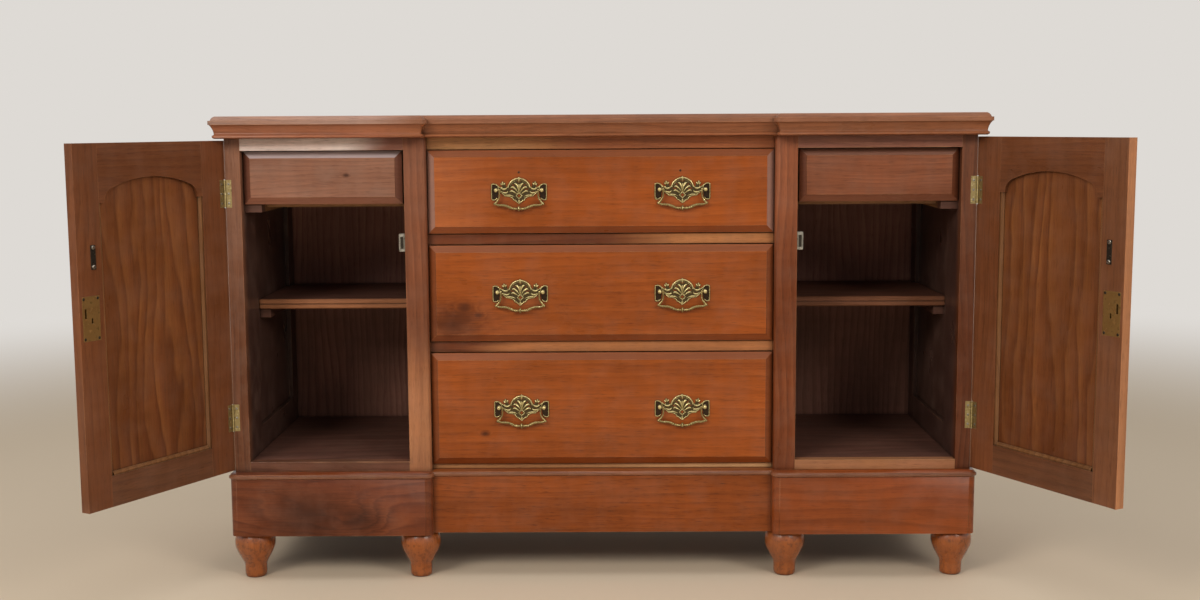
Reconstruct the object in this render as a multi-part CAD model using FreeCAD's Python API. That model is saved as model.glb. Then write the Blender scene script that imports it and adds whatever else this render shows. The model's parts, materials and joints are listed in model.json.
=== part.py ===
"""Victorian breakfront chiffonier in red cedar with stamped brass handles.

Two cupboard wings stand forward of a centre with three graduated drawers.
Every piece is drawn with the wing stiles' front face at y = 0, the viewer in
front looking along +Y, and the left half is mirrored for the right one. The
doors are drawn shut and turned open on their hinge pins, as they rest. At the
end all pieces move so that the origin is the bottom centre of the whole.
"""
import FreeCAD, Part
import math
import os

V = FreeCAD.Vector

# Overall sizes in millimetres
carcass_w = 1420.0            # across the outer front stiles
carcass_d = 452.0             # stile fronts to the back of the back boards
foot_h = 90.0
plinth_h = 121.0              # plinth from its lower edge to the ledge
front_h = 641.5               # ledge to the underside of the cornice
cornice_h = 26.0
top_t = 15.5
recess = 22.0                 # the centre stands this far behind the wings

# Carcass frame
outer_stile_w = 29.0
side_stile_d = 105.0
rear_stile_d = 57.0
side_top_rail_h = 95.0
side_bottom_rail_h = 70.0
side_panel_t = 9.0
side_panel_inset = 9.0        # panel behind the inner face of its frame
panel_tongue = 8.0            # panel edge held in the grooves
centre_opening_w = 660.0      # between the inner stiles
inner_stile_w = 42.0
inner_stile_d = 62.0
stile_round = 8.0             # rounded corner of the inner stiles
partition_t = 18.0
partition_setback = 2.0       # partition behind the stile's drawer face
back_t = 12.0
back_board_count = 9
back_board_chamfer = 1.5
top_rail_show = 23.0          # top rails below the cornice
wing_rail_t = 22.0
wing_bottom_rail_h = 19.0
centre_rail_d = 40.0
centre_bottom_rail_h = 9.0
drawer_rail_t = 20.0
floor_t = 18.0
shelf_t = 20.0
shelf_setback = 150.0
shelf_rise = 279.5            # underside of the shelf above the floor
shelf_groove_w = 2.4
shelf_groove_d = 1.6
shelf_nose = 2.4              # bevel along the shelf's front edges
shelf_gap = 0.5
bearer_w = 12.0
bearer_h = 18.0
bearer_setback = 8.0          # bearer behind the shelf's front edge

# Top board and cornice, as projections from the line of the closed doors
door_margin = 2.0             # reference line ahead of the closed doors
edge_proj = 21.0              # square edge of the top board
edge_h = 7.5
thumb_step = 4.2              # small flat between square edge and thumb moulding
thumb_bow_share = 0.13        # swell of the thumb moulding in its chord
corner_axis_proj = 8.0        # axis of the rounded corners
top_rear_overhang = 10.0
cornice_bead_proj = 14.0
cornice_bead_r = 4.0
cornice_flare_proj = 19.0
cornice_hollow_share = 0.09   # depth of the hollow in its chord
cornice_break_x = 344.0       # reference line of the break in the cornice

# Plinth
plinth_proj = 6.0
plinth_t = 34.0
plinth_corner_r = 14.0
plinth_break_x = 333.0
plinth_back_t = 22.0
bead_h = 9.0
bead_proj = 3.6
bead_drop = 0.6               # top of the bead below the ledge
bead_flat_share = 0.6         # canted part of each half of a bead
block_w = 66.0
block_h = 38.0

# Turned feet
foot_r = 39.2
foot_inset_x = 29.0           # axis of the outer feet inside the carcass side
foot_break_inset = 23.0       # axis of the inner feet outside the plinth's break
foot_setback = 18.0           # axis of the front feet behind the stile fronts
foot_bulb_share = 0.77        # height of the bulb's middle
foot_neck_share = 0.585       # height where the bulb runs into its straight taper
foot_ankle_share = 0.29       # height where the taper meets the ankle
foot_ankle_r = 21.4

# Doors
door_w = 356.5
door_t = 18.0
door_seat_gap = 1.0           # closed door ahead of the stiles
door_low_gap = 3.0
door_high_gap = 3.5
door_open_deg = 118.5         # how far the doors stand open at rest
hinge_stile_w = 57.5
lock_stile_w = 53.0
door_bottom_rail_h = 55.0
door_top_rail_h = 102.0       # at the stiles, down to the springing
arch_shoulder = 12.0
arch_rise = 41.5
arch_haunch_r = 26.0
door_lip_w = 8.0              # front lip round the panel
door_lip_t = 6.0
door_panel_t = 5.0
door_bead_w = 7.0
door_bead_t = 5.0
door_bead_edge = 1.6          # thin edge of the strips, past the bevel

# Butt hinges
hinge_len = 52.0
hinge_leaf_w = 11.5
hinge_leaf_t = 1.5
knuckle_r = 2.4
knuckle_out = 1.0             # hinge pins outside the carcass side
knuckle_gap = 0.2             # knuckle to the wood and the leaf beside it
knuckle_end_gap = 0.3
hinge_low_rise = 77.5         # lower hinge above the door's lower edge
hinge_high_drop = 74.0        # upper hinge below the door's upper edge

# Lock, strike plate, knob and catch
lock_w = 38.0
lock_h = 77.0
lock_plate_t = 2.0
lock_case_t = 9.0
lock_case_margin = 5.0
lock_edge = 6.5               # lock plate to the free edge of the door
lock_rise = 298.0             # lock above the door's lower edge
key_x = 15.4                  # key slit inside the lock's hinge-side edge
key_z = 30.0
key_slit_w = 3.2
key_slit_h = 9.0
link_slot_x = 29.0
link_slot_z = 39.0
link_slot_w = 4.0
link_slot_h = 17.0
strike_w = 16.0
strike_h = 42.0
strike_t = 0.7
strike_edge = 24.5            # strike plate to the free edge of the door
strike_gap = 45.0             # strike plate above the lock
knob_r = 7.5
knob_len = 19.0
knob_head_t = 8.0
knob_stem_r = 4.0
knob_drop = 9.0               # knob axis below the lock
catch_w = 12.0
catch_d = 15.0
catch_h = 34.0
catch_setback = 1.5
catch_drop = 158.5            # catch below the top of the opening
catch_plate_w = 8.0
catch_plate_h = 24.0
catch_plate_proj = 0.6

# Drawers
drawer_gap = 1.5
drawer_side_gap = 1.0
upper_drawer_h = 158.0
middle_drawer_h = 185.0
drawer_front_t = 20.0
drawer_proud = 6.0            # edge of the front ahead of the rails
bevel_w = 13.0
bevel_fall = 5.0
field_step = 1.0
box_inset = 3.0
box_side_t = 10.0
box_back_t = 10.0
box_rear_gap = 25.0           # drawer backs ahead of the back boards
box_drop = 10.0               # sides lower than the front
bottom_t = 6.0
bottom_rise = 8.0
groove_d = 4.0
runner_gap = 0.4
runner_w = 26.0

# Drawers inside the cupboards
inner_drawer_h = 100.5
inner_drawer_outer_gap = 1.5
inner_drawer_inner_gap = 5.5
inner_drawer_setback = 14.0   # face of the front behind the stiles
inner_box_rear_gap = 36.0
inner_runner_t = 14.0
inner_outer_runner_w = 33.0
inner_inner_runner_w = 32.0
inner_runner_front = 24.0
inner_strip_h = 6.0
inner_strip_d = 16.0

# Handles
handle_x = 155.0
handle_rise = 3.5             # posts above the middle of the drawer
plate_half_w = 53.0
plate_t = 1.8
plate_dome_r = 22.6
plate_ring_w = 2.6
plate_dome_low_deg = 15.0     # where the dome's rim meets the shoulders
plate_dome_mid_deg = 50.0
plate_dome_high_deg = 82.0    # where it meets the finial
plate_finial_h = 25.0
plate_drop_h = 26.8           # lower point under the posts
plate_tab_w = 9.5
plate_tab_slot_w = 3.6
# outline of the shoulder with its trefoil, in half widths and finial heights
plate_shoulder_shares = ((0.48, 0.2), (0.5, 0.64), (0.66, 0.64), (0.62, 0.22), (0.9, 0.48), (1.0, 0.42))
# outline of the end tab and the scalloped foot, in half widths and drop heights
plate_foot_shares = ((1.0, 0.64), (0.91, 0.74), (0.82, 0.64), (0.82, 0.08), (0.62, 0.25),
                     (0.46, 0.5), (0.27, 0.56), (0.2, 0.74), (0.08, 0.8))
# palmette of pierced leaves that spread from its root inside the dome
palmette_root_share = 0.2     # root below the posts, in dome radii
palmette_gap_degs = (8.0, 48.0, 90.0, 132.0, 172.0)
palmette_gap_shares = (0.26, 0.55, 0.84)
palmette_gap_w = 4.4
diamond_share = 0.5           # centre of the pierced diamond, in drop heights
diamond_r = 3.4
plate_tab_low_share = 0.58
post_x = 43.4
post_r = 3.9
post_len = 11.0
axis_out = 8.0                # bail axis in front of the drawer's face
rod_sides = 6
bail_pin_r = 1.6
bail_fit = 0.06
bail_pin_len = 3.0
bail_arm_x = 36.6
bail_arm_r = 2.6
bail_arm_run = 10.0
bail_corner_x = 45.6
bail_corner_z = 25.6
bail_centre_z = 35.0
bail_knop_r = 5.6
bail_knop_w = 5.2

cut_over = 1.0                # overrun of every cut

# Levels and lines that follow from these sizes
half_w = carcass_w / 2
z_ledge = foot_h + plinth_h
z_cornice = z_ledge + front_h
z_board = z_cornice + cornice_h
z_top = z_board + top_t
z_open_top = z_cornice - top_rail_show
z_floor = z_ledge + wing_bottom_rail_h
centre_half = centre_opening_w / 2
stile_x = centre_half + inner_stile_w
wing_x = half_w - outer_stile_w
partition_in = centre_half + partition_setback
partition_out = partition_in + partition_t
back_y = carcass_d - back_t
front_line = -(door_seat_gap + door_t + door_margin)
centre_line = front_line + recess
top_rear_y = carcass_d + top_rear_overhang
door_low_z = z_ledge + door_low_gap
door_high_z = z_cornice - door_high_gap
lock_low_z = door_low_z + lock_rise
strike_z = lock_low_z + lock_h + strike_gap
catch_z = z_open_top - catch_drop - catch_h
pivot_x = -(half_w + knuckle_out)
pivot_y = -door_seat_gap / 2
pivot = V(pivot_x, pivot_y, 0)


def block(x, y, z):
    """A board from its three (low, high) pairs."""
    return Part.makeBox(x[1] - x[0], y[1] - y[0], z[1] - z[0], V(x[0], y[0], z[0]))


def mirrored(shapes):
    """The right-hand copies of left-hand pieces."""
    return [s.mirror(V(0, 0, 0), V(1, 0, 0)) for s in shapes]


def fused(shapes):
    """One solid from pieces that overlap."""
    return shapes[0].multiFuse(shapes[1:]).removeSplitter()


def edge_path(start, steps):
    """Edges from start: a point is a straight run, a (middle, end) pair an arc."""
    edges, here = [], start
    for step in steps:
        if isinstance(step, tuple):
            edges.append(Part.Arc(here, step[0], step[1]).toShape())
            here = step[1]
        else:
            edges.append(Part.LineSegment(here, step).toShape())
            here = step
    if here.distanceToPoint(start) > Part.Precision.confusion():
        edges.append(Part.LineSegment(here, start).toShape())
    return edges


def outline(start, steps):
    """A flat face inside a closed outline."""
    return Part.Face(Part.Wire(edge_path(start, steps)))


def polygon(centre, radius, along):
    """Six-sided section of a filed rod, square to along."""
    ring = Part.Wire(Part.makeCircle(radius, centre, along))
    return Part.makePolygon(ring.discretize(rod_sides + 1))


def filed_rod(low, high, radius):
    """Six-sided rod between two points."""
    return Part.Face(polygon(low, radius, high - low)).extrude(high - low)


def quarter_point(corner, start, end):
    """The middle of the quarter arc from start to end that is hollow towards corner."""
    half = math.sqrt(0.5)
    return corner + (start - corner) * half + (end - corner) * half


def bowed_point(start, end, share):
    """The middle of an arc from start to end that bows to the left by a share of its chord."""
    chord = end - start
    return (start + end) * 0.5 + V(-chord.z, 0, chord.x) * share


def turned(face, quarter_turns, x, y):
    """A moulding section, drawn with its projection along +X, set at a run."""
    copy = face.copy()
    copy.rotate(V(0, 0, 0), V(0, 0, 1), quarter_turns * 90)
    copy.translate(V(x, y, 0))
    return copy


def moulded_runs(section, corner, axis, side_x, break_x, front_y, centre_y, rear_y, return_y):
    """The lengths of a breakfront moulding round the left half and the centre.

    section is the profile of the straight lengths and corner that of the
    rounded corners, both with the projection measured from the corner axis.
    """
    out_x, in_x, face_y = -(side_x + axis), -(break_x - axis), front_y - axis
    back = 2
    side = turned(section, back, out_x, face_y).extrude(V(0, rear_y - face_y, 0))
    wing = turned(section, -1, out_x, face_y).extrude(V(in_x - out_x, 0, 0))
    inner = turned(section, 0, in_x, face_y).extrude(V(0, return_y - face_y, 0))
    centre = turned(section, -1, -break_x, centre_y - axis).extrude(V(break_x + break_x, 0, 0))
    up = V(0, 0, 1)
    outer_turn = turned(corner, back, out_x, face_y).revolve(V(out_x, face_y, 0), up, 90)
    inner_turn = turned(corner, -1, in_x, face_y).revolve(V(in_x, face_y, 0), up, 90)
    return {"left": [side, outer_turn, wing, inner_turn, inner], "centre": [centre]}


def thumb_steps(inner):
    """Profile of the top board's edge, from the back of the section round to its top."""
    high = top_t
    thumb = V(edge_proj - corner_axis_proj - thumb_step, 0, edge_h)
    end = V(0, 0, high)
    edge = edge_proj - corner_axis_proj
    return V(inner, 0, 0), [
        V(edge, 0, 0),
        V(edge, 0, edge_h),
        thumb,
        (bowed_point(thumb, end, -thumb_bow_share), end),
        V(inner, 0, high),
    ]


def lifted(face, z):
    face.translate(V(0, 0, z))
    return face


def top_board():
    """Breakfront board with a thumb-moulded edge and rounded corners."""
    inner = -recess
    section = lifted(outline(*thumb_steps(inner)), z_board)
    start, steps = thumb_steps(0)
    corner = lifted(outline(start, steps[:-1]), z_board)
    runs = moulded_runs(section, corner, corner_axis_proj, half_w, cornice_break_x,
                        front_line, centre_line, top_rear_y, centre_line)
    side = half_w + corner_axis_proj
    wing_in = cornice_break_x - corner_axis_proj
    wing = block((-side, -wing_in), (front_line - corner_axis_proj, top_rear_y), (z_board, z_top))
    middle = block((-side, side), (centre_line - corner_axis_proj, top_rear_y), (z_board, z_top))
    left = runs["left"] + [wing]
    return [fused([middle] + left + mirrored(left) + runs["centre"])]


def cornice_steps(inner):
    """Profile of the cornice: bead below, hollow above."""
    bead_in = cornice_bead_proj - cornice_bead_r - corner_axis_proj
    bead_top = cornice_bead_r + cornice_bead_r
    bead_flat = cornice_bead_r * bead_flat_share
    hollow_low = V(bead_in, 0, bead_top)
    hollow_high = V(cornice_flare_proj - corner_axis_proj, 0, cornice_h)
    return V(inner, 0, 0), [
        V(bead_in, 0, 0),
        V(bead_in + cornice_bead_r, 0, bead_flat),
        V(bead_in + cornice_bead_r, 0, bead_top - bead_flat),
        hollow_low,
        (bowed_point(hollow_low, hollow_high, cornice_hollow_share), hollow_high),
        V(inner, 0, cornice_h),
    ]


def cornice_moulding():
    """Moulding under the top, round both sides and the stepped front."""
    depth = front_line - corner_axis_proj
    section = lifted(outline(*cornice_steps(depth)), z_cornice)
    corner = lifted(outline(*cornice_steps(0)), z_cornice)
    runs = moulded_runs(section, corner, corner_axis_proj, half_w, cornice_break_x,
                        front_line, centre_line, carcass_d, recess)
    whole = fused(runs["left"] + mirrored(runs["left"]) + runs["centre"])
    height = (z_cornice - cut_over, z_board + cut_over)
    deep = (0, carcass_d + cut_over)
    wing = block((-half_w, -centre_half), deep, height)
    middle = block((-half_w, half_w), (recess, carcass_d + cut_over), height)
    return [whole.cut(fused([wing, middle] + mirrored([wing])))]


def plinth_sections():
    """Board sections of the plinth: whole for the runs, its outer part for the corners."""
    low, high = foot_h, z_ledge
    inner = plinth_corner_r - plinth_t

    def section(start):
        face = plinth_corner_r
        return outline(V(start, 0, low), [V(face, 0, low), V(face, 0, high), V(start, 0, high)])

    return section(inner), section(0)


def plinth_runs(section, corner, return_y):
    axis = plinth_proj - plinth_corner_r
    return moulded_runs(section, corner, axis, half_w, plinth_break_x,
                        front_line, centre_line, carcass_d, return_y)


def plinth_left():
    """Side, rounded corner, front and return of the left wing's plinth."""
    run, corner = plinth_sections()
    rear = centre_line - plinth_proj + plinth_t
    return [fused(plinth_runs(run, corner, rear)["left"])]


def plinth_centre():
    """Front board of the centre, between the two returns."""
    face = centre_line - plinth_proj
    end = plinth_break_x - plinth_proj
    return [block((-end, end), (face, face + plinth_t), (foot_h, z_ledge))]


def plinth_back():
    """Board between the plinth sides at the back."""
    end = half_w + plinth_proj - plinth_t
    return [block((-end, end), (carcass_d - plinth_back_t, carcass_d), (foot_h, z_ledge))]


def plinth_bead():
    """Canted bead along the upper edge of the plinth."""
    high = z_ledge - bead_drop
    low = high - bead_h
    face = plinth_corner_r
    flat = bead_h / 2 * bead_flat_share
    out = face + bead_proj
    profile = outline(V(face, 0, low), [V(out, 0, low + flat), V(out, 0, high - flat), V(face, 0, high)])
    runs = plinth_runs(profile, profile, centre_line - plinth_proj)
    centre = runs["centre"]
    end = plinth_break_x - plinth_proj
    keep = block((-end, end), (centre_line - plinth_t, centre_line), (low, high))
    return [fused(runs["left"] + mirrored(runs["left"]) + [centre[0].common(keep)])]


def foot_places():
    """Axes of the four turned feet along the front."""
    outer = half_w - foot_inset_x
    inner = plinth_break_x + foot_break_inset
    return [(x, foot_setback) for x in (-outer, -inner, inner, outer)]


def turned_feet():
    """Turned front feet: a round bulb under the plinth that tapers to a straight ankle."""
    middle = foot_h * foot_bulb_share

    def bulb(z):
        return V(math.sqrt(foot_r ** 2 - (z - middle) ** 2), 0, z)

    profile = outline(V(0, 0, foot_h), [
        bulb(foot_h),
        (bulb(middle), bulb(foot_h * foot_neck_share)),
        V(foot_ankle_r, 0, foot_h * foot_ankle_share),
        V(foot_ankle_r, 0, 0),
        V(0, 0, 0),
    ])
    foot = profile.revolve(V(0, 0, 0), V(0, 0, 1), 360)
    return [foot.translated(V(x, y, 0)) for x, y in foot_places()]


def foot_blocks():
    """Blocks in the plinth's corners: over the front feet, and down to the floor as the rear feet."""
    side = half_w + plinth_proj - plinth_t
    front = front_line - plinth_proj + plinth_t
    rear = carcass_d - plinth_back_t
    high = foot_h + block_h
    return_end = plinth_break_x - plinth_proj + plinth_t
    left = [
        block((-side, -side + block_w), (front, front + block_w), (foot_h, high)),
        block((-side, -side + block_w), (rear - block_w, rear), (0, high)),
        block((-return_end - block_w, -return_end), (front, front + block_w), (foot_h, high)),
    ]
    return left + mirrored(left)


def side_panel():
    """Thin panel of the left end, its edges in the frame's grooves."""
    y = (side_stile_d - panel_tongue, carcass_d - rear_stile_d + panel_tongue)
    z = (z_ledge + side_bottom_rail_h - panel_tongue, z_board - side_top_rail_h + panel_tongue)
    low = -wing_x - side_panel_inset - side_panel_t
    return [block((low, low + side_panel_t), y, z)]


def hinge_levels():
    return [door_low_z + hinge_low_rise, door_high_z - hinge_high_drop - hinge_len]


def side_frame():
    """Stiles and rails of the left end, grooved for the panel, sunk for the hinges."""
    x = (-half_w, -wing_x)
    rear = carcass_d - rear_stile_d
    front = block(x, (0, side_stile_d), (z_ledge, z_board))
    for z in hinge_levels():
        sink = (-half_w - cut_over, -half_w + hinge_leaf_w)
        front = front.cut(block(sink, (-cut_over, hinge_leaf_t), (z, z + hinge_len)))
        front = front.cut(knuckle_room((z, z + hinge_len)))
    back = block(x, (rear, carcass_d), (z_ledge, z_board))
    low = block(x, (side_stile_d, rear), (z_ledge, z_ledge + side_bottom_rail_h))
    high = block(x, (side_stile_d, rear), (z_board - side_top_rail_h, z_board))
    panel = side_panel()[0]
    return [s.cut(panel) for s in (front, back, low, high)]


def inner_stile():
    """Post between the left cupboard and the drawers, its centre corner rounded."""
    low, high = -stile_x, -centre_half
    r = stile_round
    middle = quarter_point(V(high - r, r, z_ledge), V(high - r, 0, z_ledge), V(high, r, z_ledge))
    plan = outline(V(low, 0, z_ledge), [
        V(high - r, 0, z_ledge),
        (middle, V(high, r, z_ledge)),
        V(high, inner_stile_d, z_ledge),
        V(low, inner_stile_d, z_ledge),
    ])
    return [plan.extrude(V(0, 0, z_board - z_ledge))]


def partition():
    return [block((-partition_out, -partition_in), (inner_stile_d, back_y), (z_ledge, z_board))]


def wing_rails():
    """Upper and lower rail of the left cupboard's opening."""
    x, y = (-wing_x, -stile_x), (0, wing_rail_t)
    return [block(x, y, (z_open_top, z_board)), block(x, y, (z_ledge, z_floor))]


def rail_tops():
    """Upper faces of the rails that the three drawers run on, the lowest first."""
    lowest = z_ledge + centre_bottom_rail_h
    upper = z_open_top - drawer_gap - upper_drawer_h - drawer_gap
    middle = upper - drawer_rail_t - drawer_gap - middle_drawer_h - drawer_gap
    return [lowest, middle, upper]


def centre_rail(low, high):
    return block((-centre_half, centre_half), (recess, recess + centre_rail_d), (low, high))


def centre_top_rail():
    return [centre_rail(z_open_top, z_board)]


def drawer_rails():
    """The rail on the plinth and the two rails between the drawers."""
    tops = rail_tops()
    return [centre_rail(z_ledge, tops[0])] + [centre_rail(z - drawer_rail_t, z) for z in tops[1:]]


def cupboard_floor():
    """Floor of the left cupboard, notched round the inner stile."""
    board = block((-wing_x, -partition_out), (wing_rail_t, back_y), (z_floor - floor_t, z_floor))
    return [board.cut(inner_stile()[0])]


def shelf():
    """Shelf with a grooved front edge, notched round the rear stile."""
    out = -wing_x - side_panel_inset + shelf_gap
    low = z_floor + shelf_rise
    high = low + shelf_t
    y = shelf_setback
    mid = (low + high) / 2
    gw, gd = shelf_groove_w / 2, shelf_groove_d
    nose = y + shelf_nose
    edge = outline(V(out, nose, low), [
        V(out, y, low + shelf_nose),
        V(out, y, mid - gw),
        V(out, y + gd, mid - gw),
        V(out, y + gd, mid + gw),
        V(out, y, mid + gw),
        V(out, y, high - shelf_nose),
        V(out, nose, high),
        V(out, back_y, high),
        V(out, back_y, low),
    ])
    board = edge.extrude(V(-partition_out - shelf_gap - out, 0, 0))
    notch_y = (carcass_d - rear_stile_d - shelf_gap, carcass_d)
    notch = block((out - cut_over, -wing_x + shelf_gap), notch_y, (low - cut_over, high + cut_over))
    return [board.cut(notch)]


def shelf_bearers():
    """Battens on the left cupboard's panel and partition that carry the shelf."""
    high = z_floor + shelf_rise
    y = (shelf_setback + bearer_setback, carcass_d - rear_stile_d)
    z = (high - bearer_h, high)
    outer = -wing_x - side_panel_inset
    return [block((outer, outer + side_panel_inset + bearer_w), y, z),
            block((-partition_out - bearer_w, -partition_out), y, z)]


def inner_runner_z():
    return z_open_top - drawer_gap - inner_drawer_h - drawer_gap


def drawer_runners():
    """Runners on the left side: three for the centre drawers, two and a strip inside."""
    y = (recess + centre_rail_d, back_y)
    x = (-partition_in, -partition_in + runner_w)
    tops = rail_tops()
    lows = [z_ledge] + [z - drawer_rail_t for z in tops[1:]]
    runners = [block(x, y, z) for z in zip(lows, tops)]
    high = inner_runner_z()
    z = (high - inner_runner_t, high)
    outer = (-wing_x, -wing_x + inner_outer_runner_w)
    inner = (-partition_out - inner_inner_runner_w, -partition_out)
    runners.append(block(outer, (inner_runner_front, back_y), z))
    runners.append(block(inner, (inner_stile_d, back_y), z))
    strip_y = (inner_stile_d, inner_stile_d + inner_strip_d)
    runners.append(block((outer[1], inner[0]), strip_y, (high - inner_strip_h, high)))
    return runners


def back_boards():
    """Upright boards with chamfered edges that close the back."""
    step = (wing_x + wing_x) / back_board_count
    c = back_board_chamfer
    boards = []
    for n in range(back_board_count):
        low = -wing_x + n * step
        high = low + step
        plan = outline(V(low, back_y, z_ledge), [
            V(high, back_y, z_ledge),
            V(high, carcass_d - c, z_ledge),
            V(high - c, carcass_d, z_ledge),
            V(low + c, carcass_d, z_ledge),
            V(low, carcass_d - c, z_ledge),
        ])
        boards.append(plan.extrude(V(0, 0, z_board - z_ledge)))
    return boards


def opened(shapes):
    """Pieces of the left door, drawn shut, turned open on the hinge pins."""
    return [s.rotated(pivot, V(0, 0, 1), -door_open_deg) for s in shapes]


def door_x(along):
    """Place along the left door, measured from its hinge edge."""
    return -half_w + along


def door_y():
    """Front and inner face of the shut door."""
    inner = -door_seat_gap
    return inner - door_t, inner


def arch_steps(low_x, high_x, spring, shoulder, rise, haunch, y):
    """Shoulders and three-centred arch from low_x to high_x at the springing."""
    middle = (low_x + high_x) / 2
    span = (high_x - low_x) / 2 - shoulder
    flat = span - haunch
    crown = (flat * flat / (rise - haunch) + rise + haunch) / 2
    tilt = math.atan2(flat, crown - rise)
    top = spring + rise
    join_x = crown * math.sin(tilt)
    join_z = top - crown + crown * math.cos(tilt)
    half = (math.pi / 2 - tilt) / 2
    haunch_x = flat + haunch * math.cos(half)
    haunch_z = spring + haunch * math.sin(half)
    return [
        V(middle - span, y, spring),
        (V(middle - haunch_x, y, haunch_z), V(middle - join_x, y, join_z)),
        (V(middle, y, top), V(middle + join_x, y, join_z)),
        (V(middle + haunch_x, y, haunch_z), V(middle + span, y, spring)),
        V(high_x, y, spring),
    ]


def door_sight(grow, y):
    """Outline of the opening in the door frame, drawn in by grow on every side."""
    low = door_x(hinge_stile_w) + grow
    high = door_x(door_w - lock_stile_w) - grow
    floor = door_low_z + door_bottom_rail_h + grow
    spring = door_high_z - door_top_rail_h - grow
    steps = arch_steps(low, high, spring, arch_shoulder, arch_rise, arch_haunch_r, y)
    return outline(V(low, y, floor), [V(low, y, spring)] + steps + [V(high, y, floor)])


def door_void():
    """What is open in the door frame: the panel's rebate and the smaller front sight."""
    front, inner = door_y()
    rebate = front + door_lip_t
    wide = door_sight(0, rebate).extrude(V(0, inner + cut_over - rebate, 0))
    small = door_sight(door_lip_w, front - cut_over).extrude(V(0, rebate - front + cut_over, 0))
    return wide, small


def door_sinks():
    """Sinkings in the shut door for its hinge leaves and the lock."""
    inner = door_y()[1]
    sinks = []
    for z in hinge_levels():
        x = (door_x(-cut_over), door_x(hinge_leaf_w))
        sinks.append(block(x, (inner - hinge_leaf_t, inner + cut_over), (z, z + hinge_len)))
        sinks.append(knuckle_room((z, z + hinge_len)))
    low = door_x(door_w - lock_edge - lock_w)
    m = lock_case_margin
    sinks.append(block((low, low + lock_w), (inner - lock_plate_t, inner + cut_over),
                       (lock_low_z, lock_low_z + lock_h)))
    sinks.append(block((low + m, low + lock_w - m), (inner - lock_plate_t - lock_case_t, inner),
                       (lock_low_z + m, lock_low_z + lock_h - m)))
    return sinks


def door_stiles():
    """The two upright members, rebated for the panel."""
    y, z = door_y(), (door_low_z, door_high_z)
    stiles = [block((door_x(0), door_x(hinge_stile_w + door_lip_w)), y, z),
              block((door_x(door_w - lock_stile_w - door_lip_w), door_x(door_w)), y, z)]
    x = (door_x(hinge_stile_w), door_x(door_w - lock_stile_w))
    rebate = y[0] + door_lip_t
    trim = [block(x, (rebate, y[1] + cut_over), (z[0] - cut_over, z[1] + cut_over))]
    low = door_low_z + door_bottom_rail_h + door_lip_w
    high = door_high_z - door_top_rail_h - door_lip_w
    for ends in ((z[0] - cut_over, low), (high, z[1] + cut_over)):
        trim.append(block(x, (y[0] - cut_over, y[1] + cut_over), ends))
    return [s.cut(fused(trim + door_sinks())) for s in stiles]


def door_rails():
    """Arched upper rail and straight lower rail, rebated for the panel."""
    y = door_y()
    x = (door_x(hinge_stile_w), door_x(door_w - lock_stile_w))
    low = block(x, y, (door_low_z, door_low_z + door_bottom_rail_h + door_lip_w))
    high = block(x, y, (door_high_z - door_top_rail_h - door_lip_w, door_high_z))
    wide, small = door_void()
    return [low.cut(wide).cut(small), high.cut(wide).cut(small)]


def door_panel():
    """Thin panel with an arched head, lying in the rebate."""
    rebate = door_y()[0] + door_lip_t
    return [door_sight(0, rebate).extrude(V(0, door_panel_t, 0))]


def door_beads():
    """Bevelled strips on the inside that hold the panel: two sides and the foot."""
    face = door_y()[0] + door_lip_t + door_panel_t
    low, high = door_x(hinge_stile_w), door_x(door_w - lock_stile_w)
    floor = door_low_z + door_bottom_rail_h
    tall = door_high_z - door_top_rail_h - floor
    w, t = door_bead_w, door_bead_t

    def bevelled(corner, across):
        ridge, low_edge = corner + V(0, t, 0), corner + across + V(0, door_bead_edge, 0)
        return outline(corner, [corner + across, low_edge, ridge + across * 0.5, ridge])

    left, right, foot = V(low, face, floor), V(high, face, floor), V(low + w, face, floor)
    return [bevelled(left, V(w, 0, 0)).extrude(V(0, 0, tall)),
            bevelled(right, V(-w, 0, 0)).extrude(V(0, 0, tall)),
            bevelled(foot, V(0, 0, w)).extrude(V(high - low - w - w, 0, 0))]


def knuckle(ends):
    """A length of hinge barrel on the pin's axis."""
    return Part.makeCylinder(knuckle_r, ends[1] - ends[0], V(pivot_x, pivot_y, ends[0]))


def knuckle_room(ends):
    """Room cut beside the pin for a length of hinge barrel."""
    half = knuckle_r + knuckle_gap
    return block((pivot_x - half, pivot_x + half), (pivot_y - half, pivot_y + half), ends)


def hinge_halves(z):
    """Ends of the lower and the upper knuckle of the loose-joint hinge that starts at z."""
    g = knuckle_end_gap / 2
    middle = z + hinge_len / 2
    return (z, middle - g), (middle + g, z + hinge_len)


def hinge_leaves():
    """Leaves on the left stile with the lower knuckles."""
    leaves = []
    for z in hinge_levels():
        low = hinge_halves(z)[0]
        plate = block((-half_w, -half_w + hinge_leaf_w), (0, hinge_leaf_t), (z, z + hinge_len))
        tail = block((pivot_x, -half_w), (0, hinge_leaf_t), low)
        plate = plate.cut(knuckle_room((low[1], z + hinge_len)))
        leaves.append(fused([plate, tail, knuckle(low)]))
    return leaves


def door_hinge_leaves():
    """Leaves on the door with the upper knuckles."""
    inner = door_y()[1]
    y = (inner - hinge_leaf_t, inner)
    leaves = []
    for z in hinge_levels():
        high = hinge_halves(z)[1]
        plate = block((door_x(0), door_x(hinge_leaf_w)), y, (z, z + hinge_len))
        tail = block((pivot_x, door_x(0)), y, high)
        plate = plate.cut(knuckle_room((z, high[0])))
        leaves.append(fused([plate, tail, knuckle(high)]))
    return leaves


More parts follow.
